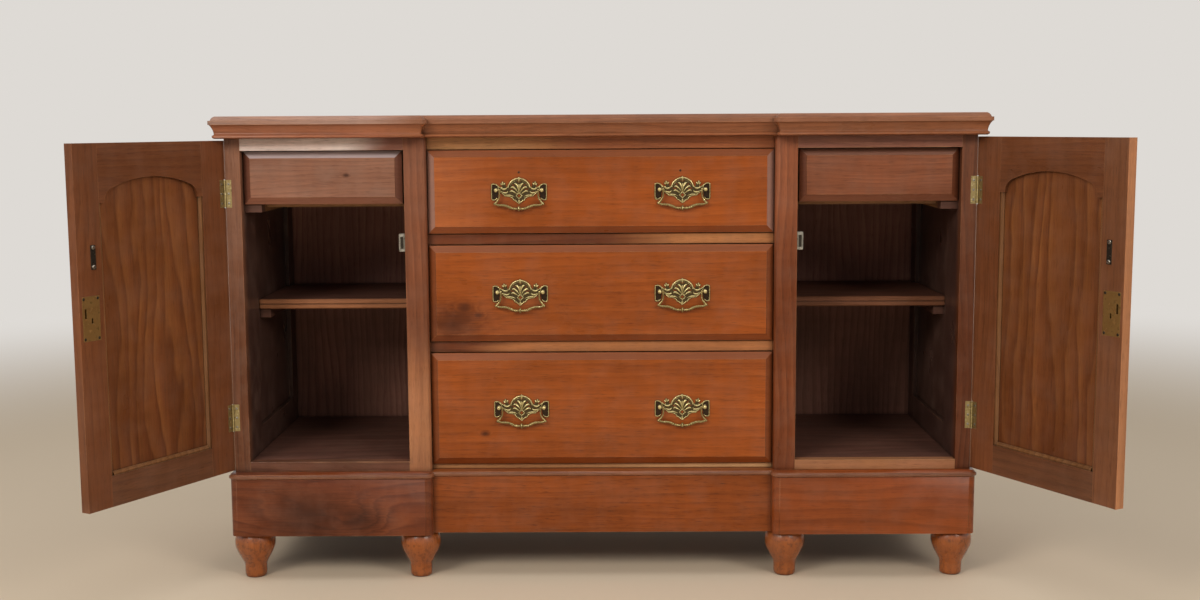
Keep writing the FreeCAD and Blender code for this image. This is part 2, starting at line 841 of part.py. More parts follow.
def door_lock():
    """Lock let into the inside of the door: plate and case with key slit and link slot."""
    inner = door_y()[1]
    low = door_x(door_w - lock_edge - lock_w)
    m = lock_case_margin
    depth = lock_plate_t + lock_case_t / 2
    lock = fused([
        block((low, low + lock_w), (inner - lock_plate_t, inner), (lock_low_z, lock_low_z + lock_h)),
        block((low + m, low + lock_w - m), (inner - lock_plate_t - lock_case_t, inner - lock_plate_t),
              (lock_low_z + m, lock_low_z + lock_h - m)),
    ])
    slots = ((key_x, key_slit_w, key_z, key_slit_h), (link_slot_x, link_slot_w, link_slot_z, link_slot_h))
    for x, w, z, h in slots:
        lock = lock.cut(block((low + x, low + x + w), (inner - depth, inner + cut_over),
                              (lock_low_z + z, lock_low_z + z + h)))
    return [lock]


def door_fittings():
    """Strike plate inside and small turned knob outside."""
    front, inner = door_y()
    free = door_x(door_w - strike_edge)
    strike = block((free - strike_w, free), (inner, inner + strike_t), (strike_z, strike_z + strike_h))
    base = V(door_x(door_w - lock_edge - lock_w) + key_x, front, lock_low_z - knob_drop)
    out = V(0, -1, 0)
    stem = filed_rod(base, base + out * knob_len, knob_stem_r)
    head = Part.makeCylinder(knob_r, knob_head_t, base + out * (knob_len - knob_head_t), out)
    return [strike, fused([stem, head])]


def magnetic_catch():
    """Catch on the cupboard side of the left inner stile, its plates showing."""
    z = (catch_z, catch_z + catch_h)
    case = block((-stile_x - catch_w, -stile_x), (catch_setback, catch_setback + catch_d), z)
    x = -stile_x - catch_w / 2
    middle = (z[0] + z[1]) / 2
    plate = block((x - catch_plate_w / 2, x + catch_plate_w / 2),
                  (catch_setback - catch_plate_proj, catch_setback + catch_d / 2),
                  (middle - catch_plate_h / 2, middle + catch_plate_h / 2))
    return [case.fuse(plate)]


def bevelled_front(x, z, face, thick):
    """Drawer front with bevelled margins and a raised field, its face at y = face."""
    edge = face + field_step + bevel_fall
    field_x = (x[0] + bevel_w, x[1] - bevel_w)
    field_z = (z[0] + bevel_w, z[1] - bevel_w)
    slope = Part.makeWedge(field_x[0], face + field_step, field_z[0], z[0], x[0],
                           field_x[1], edge, field_z[1], z[1], x[1])
    body = block(x, (edge, face + thick), z)
    field = block(field_x, (face, edge), field_z)
    return fused([body, slope, field])


def drawer_box(x, y, low, high):
    """Sides, back and bottom of a drawer behind its front; the bottom lies in grooves."""
    inner = (x[0] + box_side_t, x[1] - box_side_t)
    floor = (low + bottom_rise, low + bottom_rise + bottom_t)
    bottom = block((inner[0] - groove_d, inner[1] + groove_d), (y[0], y[1] - box_back_t + groove_d), floor)
    boards = [block((x[0], inner[0]), y, (low, high)), block((inner[1], x[1]), y, (low, high)),
              block(inner, (y[1] - box_back_t, y[1]), (low, high))]
    return [b.cut(bottom) for b in boards] + [bottom]


def centre_drawer_levels():
    """Lower and upper edge of the three drawer fronts, the highest first."""
    tops = rail_tops()
    highs = [tops[1] - drawer_rail_t, tops[2] - drawer_rail_t, z_open_top]
    spans = [(low + drawer_gap, high - drawer_gap) for low, high in zip(tops, highs)]
    return spans[::-1]


def drawer_face():
    """Front plane of the centre drawers' fields."""
    return recess - drawer_proud - bevel_fall - field_step


def centre_drawer_front(z):
    half = centre_half - drawer_side_gap
    return [bevelled_front((-half, half), z, drawer_face(), drawer_front_t)]


def centre_drawer_box(z):
    half = centre_half - drawer_side_gap - box_inset
    y = (drawer_face() + drawer_front_t, back_y - box_rear_gap)
    return drawer_box((-half, half), y, z[0] - drawer_gap + runner_gap, z[1] - box_drop)


def inner_drawer_span():
    """Sides and levels of the drawer inside the left cupboard."""
    x = (-wing_x + inner_drawer_outer_gap, -stile_x - inner_drawer_inner_gap)
    high = z_open_top - drawer_gap
    return x, (high - inner_drawer_h, high)


def inner_drawer_front():
    x, z = inner_drawer_span()
    return [bevelled_front(x, z, inner_drawer_setback, drawer_front_t)]


def inner_drawer_box():
    x, z = inner_drawer_span()
    y = (inner_drawer_setback + drawer_front_t, back_y - inner_box_rear_gap)
    inset = (x[0] + runner_gap, x[1] - runner_gap)
    return drawer_box(inset, y, inner_runner_z() + runner_gap, z[1] - box_drop)


def plate_outline():
    """Whole outline of the handle plate about the middle between its posts."""
    w, up, drop, r = plate_half_w, plate_finial_h, plate_drop_h, plate_dome_r

    def rim(degrees):
        turn = math.radians(degrees)
        return V(r * math.cos(turn), 0, r * math.sin(turn))

    top = [V(w * x, 0, up * z) for x, z in plate_shoulder_shares]
    foot = [V(w * x, 0, -drop * z) for x, z in plate_foot_shares]
    half = edge_path(V(0, 0, up), [
        rim(plate_dome_high_deg),
        (rim(plate_dome_mid_deg), rim(plate_dome_low_deg)),
    ] + top + foot + [V(0, 0, -drop)])[:-1]
    other = [e.mirror(V(0, 0, 0), V(1, 0, 0)) for e in half]
    return Part.Face(Part.Wire(Part.__sortEdges__(half + other)))


def leaf_gap(root, degrees):
    """Kite-shaped piercing between two leaves of the palmette."""
    turn = math.radians(degrees)
    along, across = V(math.cos(turn), 0, math.sin(turn)), V(-math.sin(turn), 0, math.cos(turn))
    reach = plate_dome_r - plate_ring_w
    low, wide, high = [root + along * (reach * share) for share in palmette_gap_shares]
    side = across * (palmette_gap_w / 2)
    return outline(low, [wide + side, high, wide - side])


def plate_piercings():
    """Every hole of the plate: leaves, diamond and the slots of the end tabs."""
    root = V(0, 0, -plate_dome_r * palmette_root_share)
    holes = [leaf_gap(root, d) for d in palmette_gap_degs]
    centre = V(0, 0, -plate_drop_h * diamond_share)
    side, up = V(diamond_r, 0, 0), V(0, 0, diamond_r)
    holes.append(outline(centre + side, [centre + up, centre - side, centre - up]))
    high = -post_r - plate_ring_w
    low = -plate_drop_h * plate_tab_low_share
    for x in (-post_x, post_x):
        a, b = x - plate_tab_slot_w / 2, x + plate_tab_slot_w / 2
        shift = (plate_half_w - plate_tab_w / 2 - post_x) * (1 if x > 0 else -1)
        holes.append(outline(V(a + shift, 0, low), [V(b + shift, 0, low), V(b + shift, 0, high),
                                                   V(a + shift, 0, high)]))
    return holes


def handle_plate():
    """Pierced plate and its two posts, bored for the bail; the drawer's face is at y = 0."""
    face = plate_outline()
    for hole in plate_piercings():
        face = face.cut(hole)
    plate = face.extrude(V(0, -plate_t, 0))
    bore_r = (bail_pin_r + bail_fit) / math.cos(math.pi / rod_sides)
    for side in (-1, 1):
        base = V(side * post_x, 0, 0)
        stem = filed_rod(base, base + V(0, -post_len, 0), post_r)
        start = V(side * (post_x - post_r - post_r), -axis_out, 0)
        bore = filed_rod(start, start + V(side * (bail_pin_len + bail_fit + post_r), 0, 0), bore_r)
        plate = plate.fuse(stem).cut(bore)
    return plate.removeSplitter()


def bail_path():
    """Line of the bail from the top of its left arm to the right: two cranked arms and a sloping grip."""
    top, knee = V(bail_arm_x, 0, bail_arm_r), V(bail_arm_x, 0, -bail_arm_run)
    right = [V(bail_corner_x, 0, -bail_corner_z), knee, top]
    left = [V(-p.x, 0, p.z) for p in reversed(right)]
    return Part.makePolygon(left + [V(0, 0, -bail_centre_z)] + right)


def handle_bail():
    """Swinging bail, its axis at the origin."""
    mitred = 1
    section = polygon(V(-bail_arm_x, 0, bail_arm_r), bail_arm_r, V(0, 0, -1))
    rod = bail_path().makePipeShell([section], True, False, mitred)
    knop_half, pin_end = V(bail_knop_w / 2, 0, 0), V(post_x - post_r + bail_pin_len, 0, 0)
    centre = V(0, 0, -bail_centre_z)
    knop = filed_rod(centre - knop_half, centre + knop_half, bail_knop_r)
    pins = [filed_rod(V(side * bail_arm_x, 0, 0), pin_end * side, bail_pin_r) for side in (-1, 1)]
    return fused([rod, knop] + pins)


def handle_places(z):
    """Middle points of the two handles of the drawer with edges z, left first."""
    level = (z[0] + z[1]) / 2 + handle_rise
    return [V(side * handle_x, drawer_face(), level) for side in (-1, 1)]


def origin_shift():
    """Move from the stile fronts to the middle between the open doors' edges and the top's back."""
    turn = math.radians(door_open_deg)
    along = -half_w + door_w - pivot_x
    across = -door_seat_gap - pivot_y
    front = pivot_y - along * math.sin(turn) + across * math.cos(turn)
    return V(0, -(front + top_rear_y) / 2, 0)


def both(left):
    """A pair of mirrored pieces in one node."""
    return left + mirrored(left)


def all_pieces():
    """Every node's solids, by name."""
    pieces = {
        "top_board": top_board(),
        "cornice_moulding": cornice_moulding(),
        "side_frame_left": side_frame(),
        "side_frame_right": mirrored(side_frame()),
        "side_panels": both(side_panel()),
        "inner_stile_left": inner_stile(),
        "inner_stile_right": mirrored(inner_stile()),
        "partitions": both(partition()),
        "wing_rails": both(wing_rails()),
        "centre_top_rail": centre_top_rail(),
        "drawer_rails": drawer_rails(),
        "cupboard_floors": both(cupboard_floor()),
        "shelf_left": shelf(),
        "shelf_right": mirrored(shelf()),
        "shelf_bearers": both(shelf_bearers()),
        "drawer_runners": both(drawer_runners()),
        "back_boards": back_boards(),
        "plinth_left": plinth_left(),
        "plinth_right": mirrored(plinth_left()),
        "plinth_centre": plinth_centre(),
        "plinth_back": plinth_back(),
        "plinth_bead": plinth_bead(),
        "foot_blocks": foot_blocks(),
        "turned_feet": turned_feet(),
        "hinge_leaves": both(hinge_leaves()),
        "magnetic_catches": both(magnetic_catch()),
    }
    door = {"stiles": door_stiles, "rails": door_rails, "panel": door_panel, "beads": door_beads,
            "hinge_leaves": door_hinge_leaves, "lock": door_lock, "fittings": door_fittings}
    for name, make in door.items():
        left = opened(make())
        pieces["door_left_" + name] = left
        pieces["door_right_" + name] = mirrored(left)
    pieces["inner_drawer_left_front"] = inner_drawer_front()
    pieces["inner_drawer_left_box"] = inner_drawer_box()
    pieces["inner_drawer_right_front"] = mirrored(inner_drawer_front())
    pieces["inner_drawer_right_box"] = mirrored(inner_drawer_box())
    plate, bail = handle_plate(), handle_bail()
    for name, z in zip(("upper", "middle", "lower"), centre_drawer_levels()):
        drawer = name + "_drawer_"
        pieces[drawer + "front"] = centre_drawer_front(z)
        pieces[drawer + "box"] = centre_drawer_box(z)
        places = handle_places(z)
        pieces[drawer + "handle_plates"] = [plate.translated(p) for p in places]
        for side, place in zip(("left", "right"), places):
            pieces[drawer + "bail_" + side] = [bail.translated(place - V(0, axis_out, 0))]
    return pieces


def main():
    """Write one file for each node."""
    os.makedirs("parts", exist_ok=True)
    shift = origin_shift()
    for name, solids in all_pieces().items():
        moved = [s.translated(shift) for s in solids]
        shape = moved[0] if len(moved) == 1 else Part.makeCompound(moved)
        shape.exportStep("parts/" + name + ".step")


main()
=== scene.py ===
"""Looks of an old red cedar breakfront chiffonier with stamped brass handles.

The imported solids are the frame. Joinery keeps its solids and gets its finishes here. The handles, the
turned feet and the small metalwork are drawn finer, and ride on the bodies that carry them. Sizes in the
classes are millimetres in the part's own frame, with x to the right, y to the back and z up; meshes are
written in metres.
"""
import json
import logging
import math
from dataclasses import dataclass, field
from enum import Enum
from functools import partial
from typing import Callable, Iterable, Sequence

import bmesh
import bpy
from mathutils import Matrix, Vector
from mathutils.geometry import tessellate_polygon

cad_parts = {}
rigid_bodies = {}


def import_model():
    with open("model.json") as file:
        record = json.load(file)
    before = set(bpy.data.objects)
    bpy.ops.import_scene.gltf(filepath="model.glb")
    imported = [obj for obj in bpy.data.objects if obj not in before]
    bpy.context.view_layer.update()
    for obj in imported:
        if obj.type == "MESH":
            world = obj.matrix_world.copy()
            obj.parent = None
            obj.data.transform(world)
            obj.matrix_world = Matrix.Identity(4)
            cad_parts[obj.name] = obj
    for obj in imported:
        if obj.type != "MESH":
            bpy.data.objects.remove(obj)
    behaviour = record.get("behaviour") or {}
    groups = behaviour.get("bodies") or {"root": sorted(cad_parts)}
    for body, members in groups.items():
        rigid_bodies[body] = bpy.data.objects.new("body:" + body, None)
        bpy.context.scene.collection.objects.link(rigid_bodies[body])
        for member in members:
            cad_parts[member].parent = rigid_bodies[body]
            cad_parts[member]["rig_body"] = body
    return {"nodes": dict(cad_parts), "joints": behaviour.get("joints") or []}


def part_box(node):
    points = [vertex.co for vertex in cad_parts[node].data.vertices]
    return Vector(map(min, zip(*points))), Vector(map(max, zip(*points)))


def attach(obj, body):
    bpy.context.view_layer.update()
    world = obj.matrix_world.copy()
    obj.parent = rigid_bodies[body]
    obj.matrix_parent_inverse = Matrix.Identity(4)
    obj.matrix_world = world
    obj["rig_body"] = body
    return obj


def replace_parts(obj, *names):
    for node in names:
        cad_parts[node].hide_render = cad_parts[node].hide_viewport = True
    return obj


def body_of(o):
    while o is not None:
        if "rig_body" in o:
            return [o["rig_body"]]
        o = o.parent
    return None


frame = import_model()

Tree = bpy.types.NodeTree
Socket = bpy.types.NodeSocket
Tint = tuple[float, float, float, float]

LOG = logging.getLogger("chiffonier")
MM = 0.001
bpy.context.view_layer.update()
# degrees by which the doors stand open
DOOR_TURN = 118.5
# front of the stiles, the centre drawers' place behind it, and the thickness of the stamped brass
STILE_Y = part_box("side_frame_left")[0][1] / MM
DRAWER_SETBACK = 10.0
PLATE_T = 0.9
# widths of softened arrises
ARRIS = 0.6
FINE_ARRIS = 0.5
SAWN_ARRIS = 0.8
METAL_ARRIS = 0.3
OUTWARD = Vector((0.0, -1.0, 0.0))
UPWARD = Vector((0.0, 0.0, 1.0))

# the colour inputs of a Mix node, and what makes it mix colours
UNDER = 6
OVER = 7
COLOURS = dict(out=2, data_type="RGBA")
SMOOTHSTEP = dict(interpolation_type="SMOOTHSTEP")


def linear(code: str) -> Tint:
    """Turn an sRGB hex colour into linear light.

    Args:
        code: Colour as "#RRGGBB".

    Returns:
        Red, green, blue and an alpha of 1.
    """
    parts = [int(code[i:i + 2], 16) / 255 for i in (1, 3, 5)]
    parts = [c / 12.92 if c <= 0.04045 else ((c + 0.055) / 1.055) ** 2.4 for c in parts]
    return (*parts, 1.0)


def add_node(tree: Tree, kind: str, inputs: dict | None = None, out: int | str = 0,
             stops: Sequence[tuple[float, str]] = (), **props: object) -> Socket | None:
    """Add one node with its settings and links.

    Args:
        tree: Tree that gets the node.
        kind: Node type.
        inputs: Values or linked sockets, by the input's name or index.
        out: Output to return.
        stops: Places and hex colours of a colour ramp, its two ends first.
        props: Properties of the node.

    Returns:
        The chosen output socket, or None for a node without outputs.
    """
    node = tree.nodes.new(kind)
    for name, value in props.items():
        setattr(node, name, value)
    for number, (place, code) in enumerate(stops):
        elements = node.color_ramp.elements
        element = elements[number] if number < 2 else elements.new(place)
        element.position = place
        element.color = linear(code)
    for key, value in (inputs or {}).items():
        if isinstance(value, Socket):
            tree.links.new(value, node.inputs[key])
        else:
            node.inputs[key].default_value = value
    return node.outputs[out] if len(node.outputs) else None


class Grain(Enum):
    """Run of the wood grain in a piece."""

    ACROSS = "x"
    UPRIGHT = "z"
    DEEP = "y"

    def turn(self) -> Matrix:
        """Turn that brings the grain to the pattern's first axis.

        Returns:
            The turn.
        """
        turns = {"x": Matrix.Identity(3), "z": Matrix.Rotation(math.pi / 2, 3, "Y"),
                 "y": Matrix.Rotation(-math.pi / 2, 3, "Z")}
        return turns[self.value]


@dataclass(frozen=True)
class Knot:
    """Knot in a board's face, with its centre, radius and the reach of the dark figure round it."""

    x: float
    z: float
    radius: float
    smoke: float = 3.0


@dataclass(frozen=True)
class Fade:
    """Tone that comes in along one axis between two places, with a ragged edge.

    The axes are the part's own. On a door they are turned about the part's origin, so that x runs along the
    leaf. Heights bound the fade from below and above.
    """

    axis: str
    start: float
    end: float
    tone: str
    share: float = 0.9
    ragged: float = 0.0
    heights: tuple[float, float] | None = None


@dataclass(frozen=True)
class Finish:
    """A surface finish that makes its material once."""

    name: str

    def material(self) -> bpy.types.Material:
        """Make the finish's material at its first use.

        Returns:
            The material.
        """
        found = bpy.data.materials.get(self.name)
        if found:
            return found
        made = bpy.data.materials.new(self.name)
        made.use_nodes = True
        made.node_tree.nodes.clear()
        shader = self.shade(made.node_tree)
        add_node(made.node_tree, "ShaderNodeOutputMaterial", {"Surface": shader})
        return made

    def shade(self, tree: Tree) -> Socket:
        """Build the nodes of the finish.

        Args:
            tree: Empty node tree of the material.

        Returns:
            Output of the shader.
        """
        raise NotImplementedError


@dataclass(frozen=True)
class Cedar(Finish):
    """Red cedar, planed and French polished long ago.

    Growth rings show as soft bands that wander along the board, pores as short dark dashes, and the polish
    as a low sheen. Handling has rubbed the arrises pale and left grime in the corners, which are also
    darkened as painted shade. The bevel shading holds the tones and shares of faces that slope up, aside and
    down: painted light and shade, with a painted reflection. The bloom is a milky haze in random patches,
    and where a finish raises it, a painted sheen. The rail zone is the depth in which an end frame's grain
    runs from front to back. Within the inside width of the middle, and behind the stiles' front, the wood
    is darkened as painted shade of the cupboards' insides.
    """

    light: str = "#A9643A"
    body: str = "#93502B"
    dark: str = "#6A331A"
    grain: Grain = Grain.ACROSS
    turn_deg: float = 0.0
    seed: int = 1
    ring_mm: float = 15.0
    rings: float = 0.45
    sway_mm: float = 70.0
    streaks: float = 0.25
    pores: float = 0.4
    mottle: float = 0.3
    ripple: float = 0.1
    flecks: float = 0.0
    flecks_per_mm: float = 0.11
    wear: str = "#B98558"
    worn: float = 0.45
    wear_mm: float = 1.6
    bloom_and_sheen_tone: str = "#8E7468"
    bloom_and_sheen: float = 0.1
    # painted light and shade: tone and share for faces that slope up, aside and down
    bevel_shading: tuple[tuple[str, float], ...] = ()
    # grime and painted shade in corners and gaps
    grime_and_shade: float = 0.6
    roughness: float = 0.32
    coat: float = 0.08
    knots: tuple[Knot, ...] = ()
    fades: tuple[Fade, ...] = ()
    rail_zone: tuple[float, float] | None = None
    # width, depth, share and tone of the painted shade inside the cupboards
    inside_shade_x: float = 0.0
    inside_shade_reach: tuple[float, float] = (4.0, 34.0)
    inside_shade_share: float = 0.93
    inside_shade_tone: str = "#402D28"
    pore_tone: str = "#2E140A"
    fleck_tone: str = "#34180A"
    knot_tone: str = "#32150A"
    corner_mm: float = 10.0
    relief_mm: float = 0.2
    specular: float = 0.2
    coat_roughness: float = 0.22

    def grain_space(self, tree: Tree) -> tuple[Socket, Matrix, Vector]:
        """Coordinates in millimetres with the grain along their first axis.

        Args:
            tree: Node tree of the material.

        Returns:
            The coordinates, and the turn and shift that give them.
        """
        add = partial(add_node, tree)
        place = add("ShaderNodeTexCoord", out="Object")
        flat = Matrix.Rotation(math.radians(self.turn_deg), 3, "Z")
        # each seed takes its board from another place of the pattern
        shift = Vector((311.0, 127.0, 173.0)) * self.seed
        turn = self.grain.turn() @ flat
        scale = (1 / MM,) * 3
        grain = add("ShaderNodeMapping", {"Vector": place, "Location": shift, "Scale": scale,
                                          "Rotation": turn.to_euler("XYZ")})
        if self.rail_zone:
            other = Grain.DEEP.turn() @ flat
            deep = add("ShaderNodeMapping", {"Vector": place, "Location": shift, "Scale": scale,
                                             "Rotation": other.to_euler("XYZ")})
            along = add("ShaderNodeSeparateXYZ", {"Vector": place}, "Y")
            middle = sum(self.rail_zone) / 2 * MM
            half = (self.rail_zone[1] - self.rail_zone[0]) / 2 * MM
            inside = add("ShaderNodeMath", {0: along, 1: middle, 2: half}, operation="COMPARE")
            grain = add("ShaderNodeMix", {"Factor": inside, 4: grain, 5: deep}, 1, data_type="VECTOR")
        return grain, turn, shift

    def patterns(self, tree: Tree, grain: Socket) -> dict[str, Socket]:
        """Noises stretched along the grain.

        Args:
            tree: Node tree of the material.
            grain: Coordinates with the grain along their first axis.

        Returns:
            Noise values by name.
        """
        # lengths along and across the grain in millimetres, and the noise's detail
        # pores are about 0.3 mm wide and drawn coarser, so that they show
        sizes = {"broad": (640.0, 130.0, 1.0), "sway": (230.0, 46.0, 2.0), "mottle": (150.0, 60.0, 3.0),
                 "fibre": (130.0, 3.2, 3.0), "pore": (22.0, 1.3, 2.0), "streak": (520.0, 20.0, 3.0),
                 "ripple": (26.0, 150.0, 2.0), "patch": (46.0, 46.0, 4.0)}
        add = partial(add_node, tree)
        made = {}
        for name, (along, across, detail) in sizes.items():
            scale = (1 / along, 1 / across, 1 / across)
            space = add("ShaderNodeVectorMath", {0: grain, 1: scale}, operation="MULTIPLY")
            made[name] = add("ShaderNodeTexNoise", {"Vector": space, "Scale": 1.0, "Detail": detail,
                                                    "Roughness": 0.55})
        return made

    def figure(self, tree: Tree, grain: Socket, noise: dict[str, Socket], turn: Matrix,
               shift: Vector) -> tuple[Socket, Socket | None]:
        """Growth rings that sway along the board and bend round the knots.

        Args:
            tree: Node tree of the material.
            grain: Coordinates with the grain along their first axis.
            noise: Noise values by name.
            turn: Turn of the coordinates.
            shift: Shift of the coordinates.

        Returns:
            Place within a ring from 0 to 1, and the darkness of the knots if there are any.
        """
        add = partial(add_node, tree)
        lean = 0.4
        fine_sway = 0.3
        per_mm = Vector((0.0, lean, 1.0)) / self.ring_mm
        sway = self.sway_mm / self.ring_mm
        rings = add("ShaderNodeVectorMath", {0: grain, 1: per_mm}, "Value", operation="DOT_PRODUCT")
        for name, reach in (("broad", sway), ("sway", sway * fine_sway)):
            rings = add("ShaderNodeMath", {0: noise[name], 1: reach, 2: rings}, operation="MULTIPLY_ADD")
        dark = None
        for knot in self.knots:
            centre = turn @ Vector((knot.x, 0.0, knot.z)) + shift
            gap = add("ShaderNodeVectorMath", {0: grain, 1: centre}, operation="SUBTRACT")
            oval = Vector((0.6, 0.0, 1.0)) / knot.radius
            gap = add("ShaderNodeVectorMath", {0: gap, 1: oval}, operation="MULTIPLY")
            gap = add("ShaderNodeVectorMath", {0: gap}, "Value", operation="LENGTH")
            for name, ragged in (("patch", 1.6), ("fibre", 1.2)):
                gap = add("ShaderNodeMath", {0: noise[name], 1: ragged, 2: gap}, operation="MULTIPLY_ADD")
            # bent rings, dark heart and haze: where each starts and ends to fall, and its strength before
            reaches = {"swirl": (1.4, 2.4 + knot.smoke, 1.8), "heart": (1.9, 2.7, 0.75),
                       "haze": (1.4, 2.0 + knot.smoke, 0.8)}
            falls = {}
            for name, (near, far, most) in reaches.items():
                falls[name] = add("ShaderNodeMapRange", {"Value": gap, "From Min": near, "From Max": far,
                                                         "To Min": most, "To Max": 0.0}, **SMOOTHSTEP)
            rings = add("ShaderNodeMath", {0: rings, 1: falls["swirl"]}, operation="ADD")
            mark = add("ShaderNodeMath", {0: falls["heart"], 1: falls["haze"]}, operation="MAXIMUM")
            dark = mark if dark is None else add("ShaderNodeMath", {0: dark, 1: mark}, operation="MAXIMUM")
        return add("ShaderNodeMath", {0: rings}, operation="FRACT"), dark

    def tones_along(self, tree: Tree, colour: Socket | Tint, noise: dict[str, Socket]) -> Socket | Tint:
        """Bring in tones along the piece, left by light, hands and polish, and in places painted light and
        shade.

        Args:
            tree: Node tree of the material.
            colour: Colour of the fresh wood.
            noise: Noise values by name.

        Returns:
            The faded colour, or the colour as it came where the piece has no fades.
        """
        add = partial(add_node, tree)
        place = add("ShaderNodeTexCoord", out="Object")
        if self.turn_deg:
            turn = (0.0, 0.0, math.radians(self.turn_deg))
            place = add("ShaderNodeMapping", {"Vector": place, "Rotation": turn})
        for fade in self.fades:
            along = add("ShaderNodeSeparateXYZ", {"Vector": place}, fade.axis)
            # the noise lies about one half, so a shift by half its reach keeps the fade in its place
            reach = fade.ragged * 4
            along = add("ShaderNodeMath", {0: noise["streak"], 1: reach * MM, 2: along},
                        operation="MULTIPLY_ADD")
            share = add("ShaderNodeMapRange", {"Value": along, "From Min": (fade.start + reach / 2) * MM,
                                               "From Max": (fade.end + reach / 2) * MM,
                                               "To Max": fade.share}, **SMOOTHSTEP)
            if fade.heights:
                middle = sum(fade.heights) / 2 * MM
                half = (fade.heights[1] - fade.heights[0]) / 2 * MM
                height = add("ShaderNodeSeparateXYZ", {"Vector": place}, "Z")
                within = add("ShaderNodeMath", {0: height, 1: middle, 2: half}, operation="COMPARE")
                share = add("ShaderNodeMath", {0: share, 1: within}, operation="MULTIPLY")
            colour = add("ShaderNodeMix", {"Factor": share, UNDER: colour, OVER: linear(fade.tone)},
                         **COLOURS)
        return colour

    def heartwood(self, tree: Tree, grain: Socket, noise: dict[str, Socket], turn: Matrix,
                  shift: Vector) -> Socket:
        """Colour of the wood itself: rings, streaks, fibres, pores and knots.

        Args:
            tree: Node tree of the material.
            grain: Coordinates with the grain along their first axis.
            noise: Noise values by name.
            turn: Turn of the coordinates.
            shift: Shift of the coordinates.

        Returns:
            The colour.
        """
        add = partial(add_node, tree)
        band, knotted = self.figure(tree, grain, noise, turn, shift)
        ringed = add("ShaderNodeValToRGB", {"Fac": band},
                     stops=((0.0, self.light), (1.0, self.light), (0.5, self.body), (0.84, self.dark)))
        shown = add("ShaderNodeMapRange", {"Value": noise["mottle"], "From Min": 0.3, "From Max": 0.7,
                                           "To Min": self.rings * 0.25, "To Max": self.rings})
        colour = self.tones_along(tree, linear(self.body), noise)
        colour = add("ShaderNodeMix", {"Factor": shown, UNDER: colour, OVER: ringed}, **COLOURS)
        streak = add("ShaderNodeMapRange", {"Value": noise["streak"], "From Min": 0.52, "From Max": 0.72,
                                            "To Max": self.streaks})
        colour = add("ShaderNodeMix", {"Factor": streak, UNDER: colour, OVER: linear(self.dark)}, **COLOURS)
        value = add("ShaderNodeMapRange", {"Value": noise["fibre"], "From Min": 0.25, "From Max": 0.75,
                                           "To Min": 0.89, "To Max": 1.11})
        for name, depth in (("broad", self.mottle), ("ripple", self.ripple), ("mottle", self.mottle * 0.6)):
            change = add("ShaderNodeMapRange", {"Value": noise[name], "From Min": 0.3, "From Max": 0.7,
                                                "To Min": 1 - depth / 2, "To Max": 1 + depth / 2})
            value = add("ShaderNodeMath", {0: value, 1: change}, operation="MULTIPLY")
        colour = add("ShaderNodeHueSaturation", {"Value": value, "Color": colour})
        pore = add("ShaderNodeMapRange", {"Value": noise["pore"], "From Min": 0.56, "From Max": 0.74,
                                          "To Max": self.pores})
        marks = [(pore, self.pore_tone)]
        if self.flecks:
            spots = add("ShaderNodeTexNoise", {"Vector": grain, "Scale": self.flecks_per_mm, "Detail": 5.0,
                                               "Roughness": 0.7})
            fleck = add("ShaderNodeMapRange", {"Value": spots, "From Min": 0.5, "From Max": 0.66,
                                               "To Max": self.flecks})
            marks.append((fleck, self.fleck_tone))
        if knotted is not None:
            marks.append((knotted, self.knot_tone))
        for share, tone in marks:
            colour = add("ShaderNodeMix", {"Factor": share, UNDER: colour, OVER: linear(tone)}, **COLOURS)
        return colour

    def aged_and_shaded(self, tree: Tree, colour: Socket, noise: dict[str, Socket]) -> Socket:
        """Age and shade the colour: bloom with painted sheen, painted shade inside, painted light and shade
        on the bevels, rubbed arrises, and grime with painted shade in the corners.

        Args:
            tree: Node tree of the material.
            colour: Colour of the wood.
            noise: Noise values by name.

        Returns:
            The aged colour.
        """
        add = partial(add_node, tree)
        place = add("ShaderNodeTexCoord", out="Object")
        normal = add("ShaderNodeNewGeometry", out="Normal")
        # painted shade inside the cupboards: darker with depth behind the stiles' front
        if self.inside_shade_x:
            across = add("ShaderNodeSeparateXYZ", {"Vector": place}, "X")
            across = add("ShaderNodeMath", {0: across}, operation="ABSOLUTE")
            inner = add("ShaderNodeMath", {0: across, 1: self.inside_shade_x * MM}, operation="LESS_THAN")
            start, end = (STILE_Y + reach for reach in self.inside_shade_reach)
            depth = add("ShaderNodeSeparateXYZ", {"Vector": place}, "Y")
            depth = add("ShaderNodeMapRange", {"Value": depth, "From Min": start * MM, "From Max": end * MM,
                                               "To Max": self.inside_shade_share}, **SMOOTHSTEP)
            inner = add("ShaderNodeMath", {0: inner, 1: depth}, operation="MULTIPLY")
            colour = add("ShaderNodeMix", {"Factor": inner, UNDER: colour, OVER: linear(self.inside_shade_tone)},
                         **COLOURS)
        # bloom in random patches, and where a finish raises it, a painted sheen
        haze = add("ShaderNodeMapRange", {"Value": noise["patch"], "From Min": 0.42, "From Max": 0.7,
                                          "To Max": self.bloom_and_sheen})
        colour = add("ShaderNodeMix", {"Factor": haze, UNDER: colour, OVER: linear(self.bloom_and_sheen_tone)}, **COLOURS)
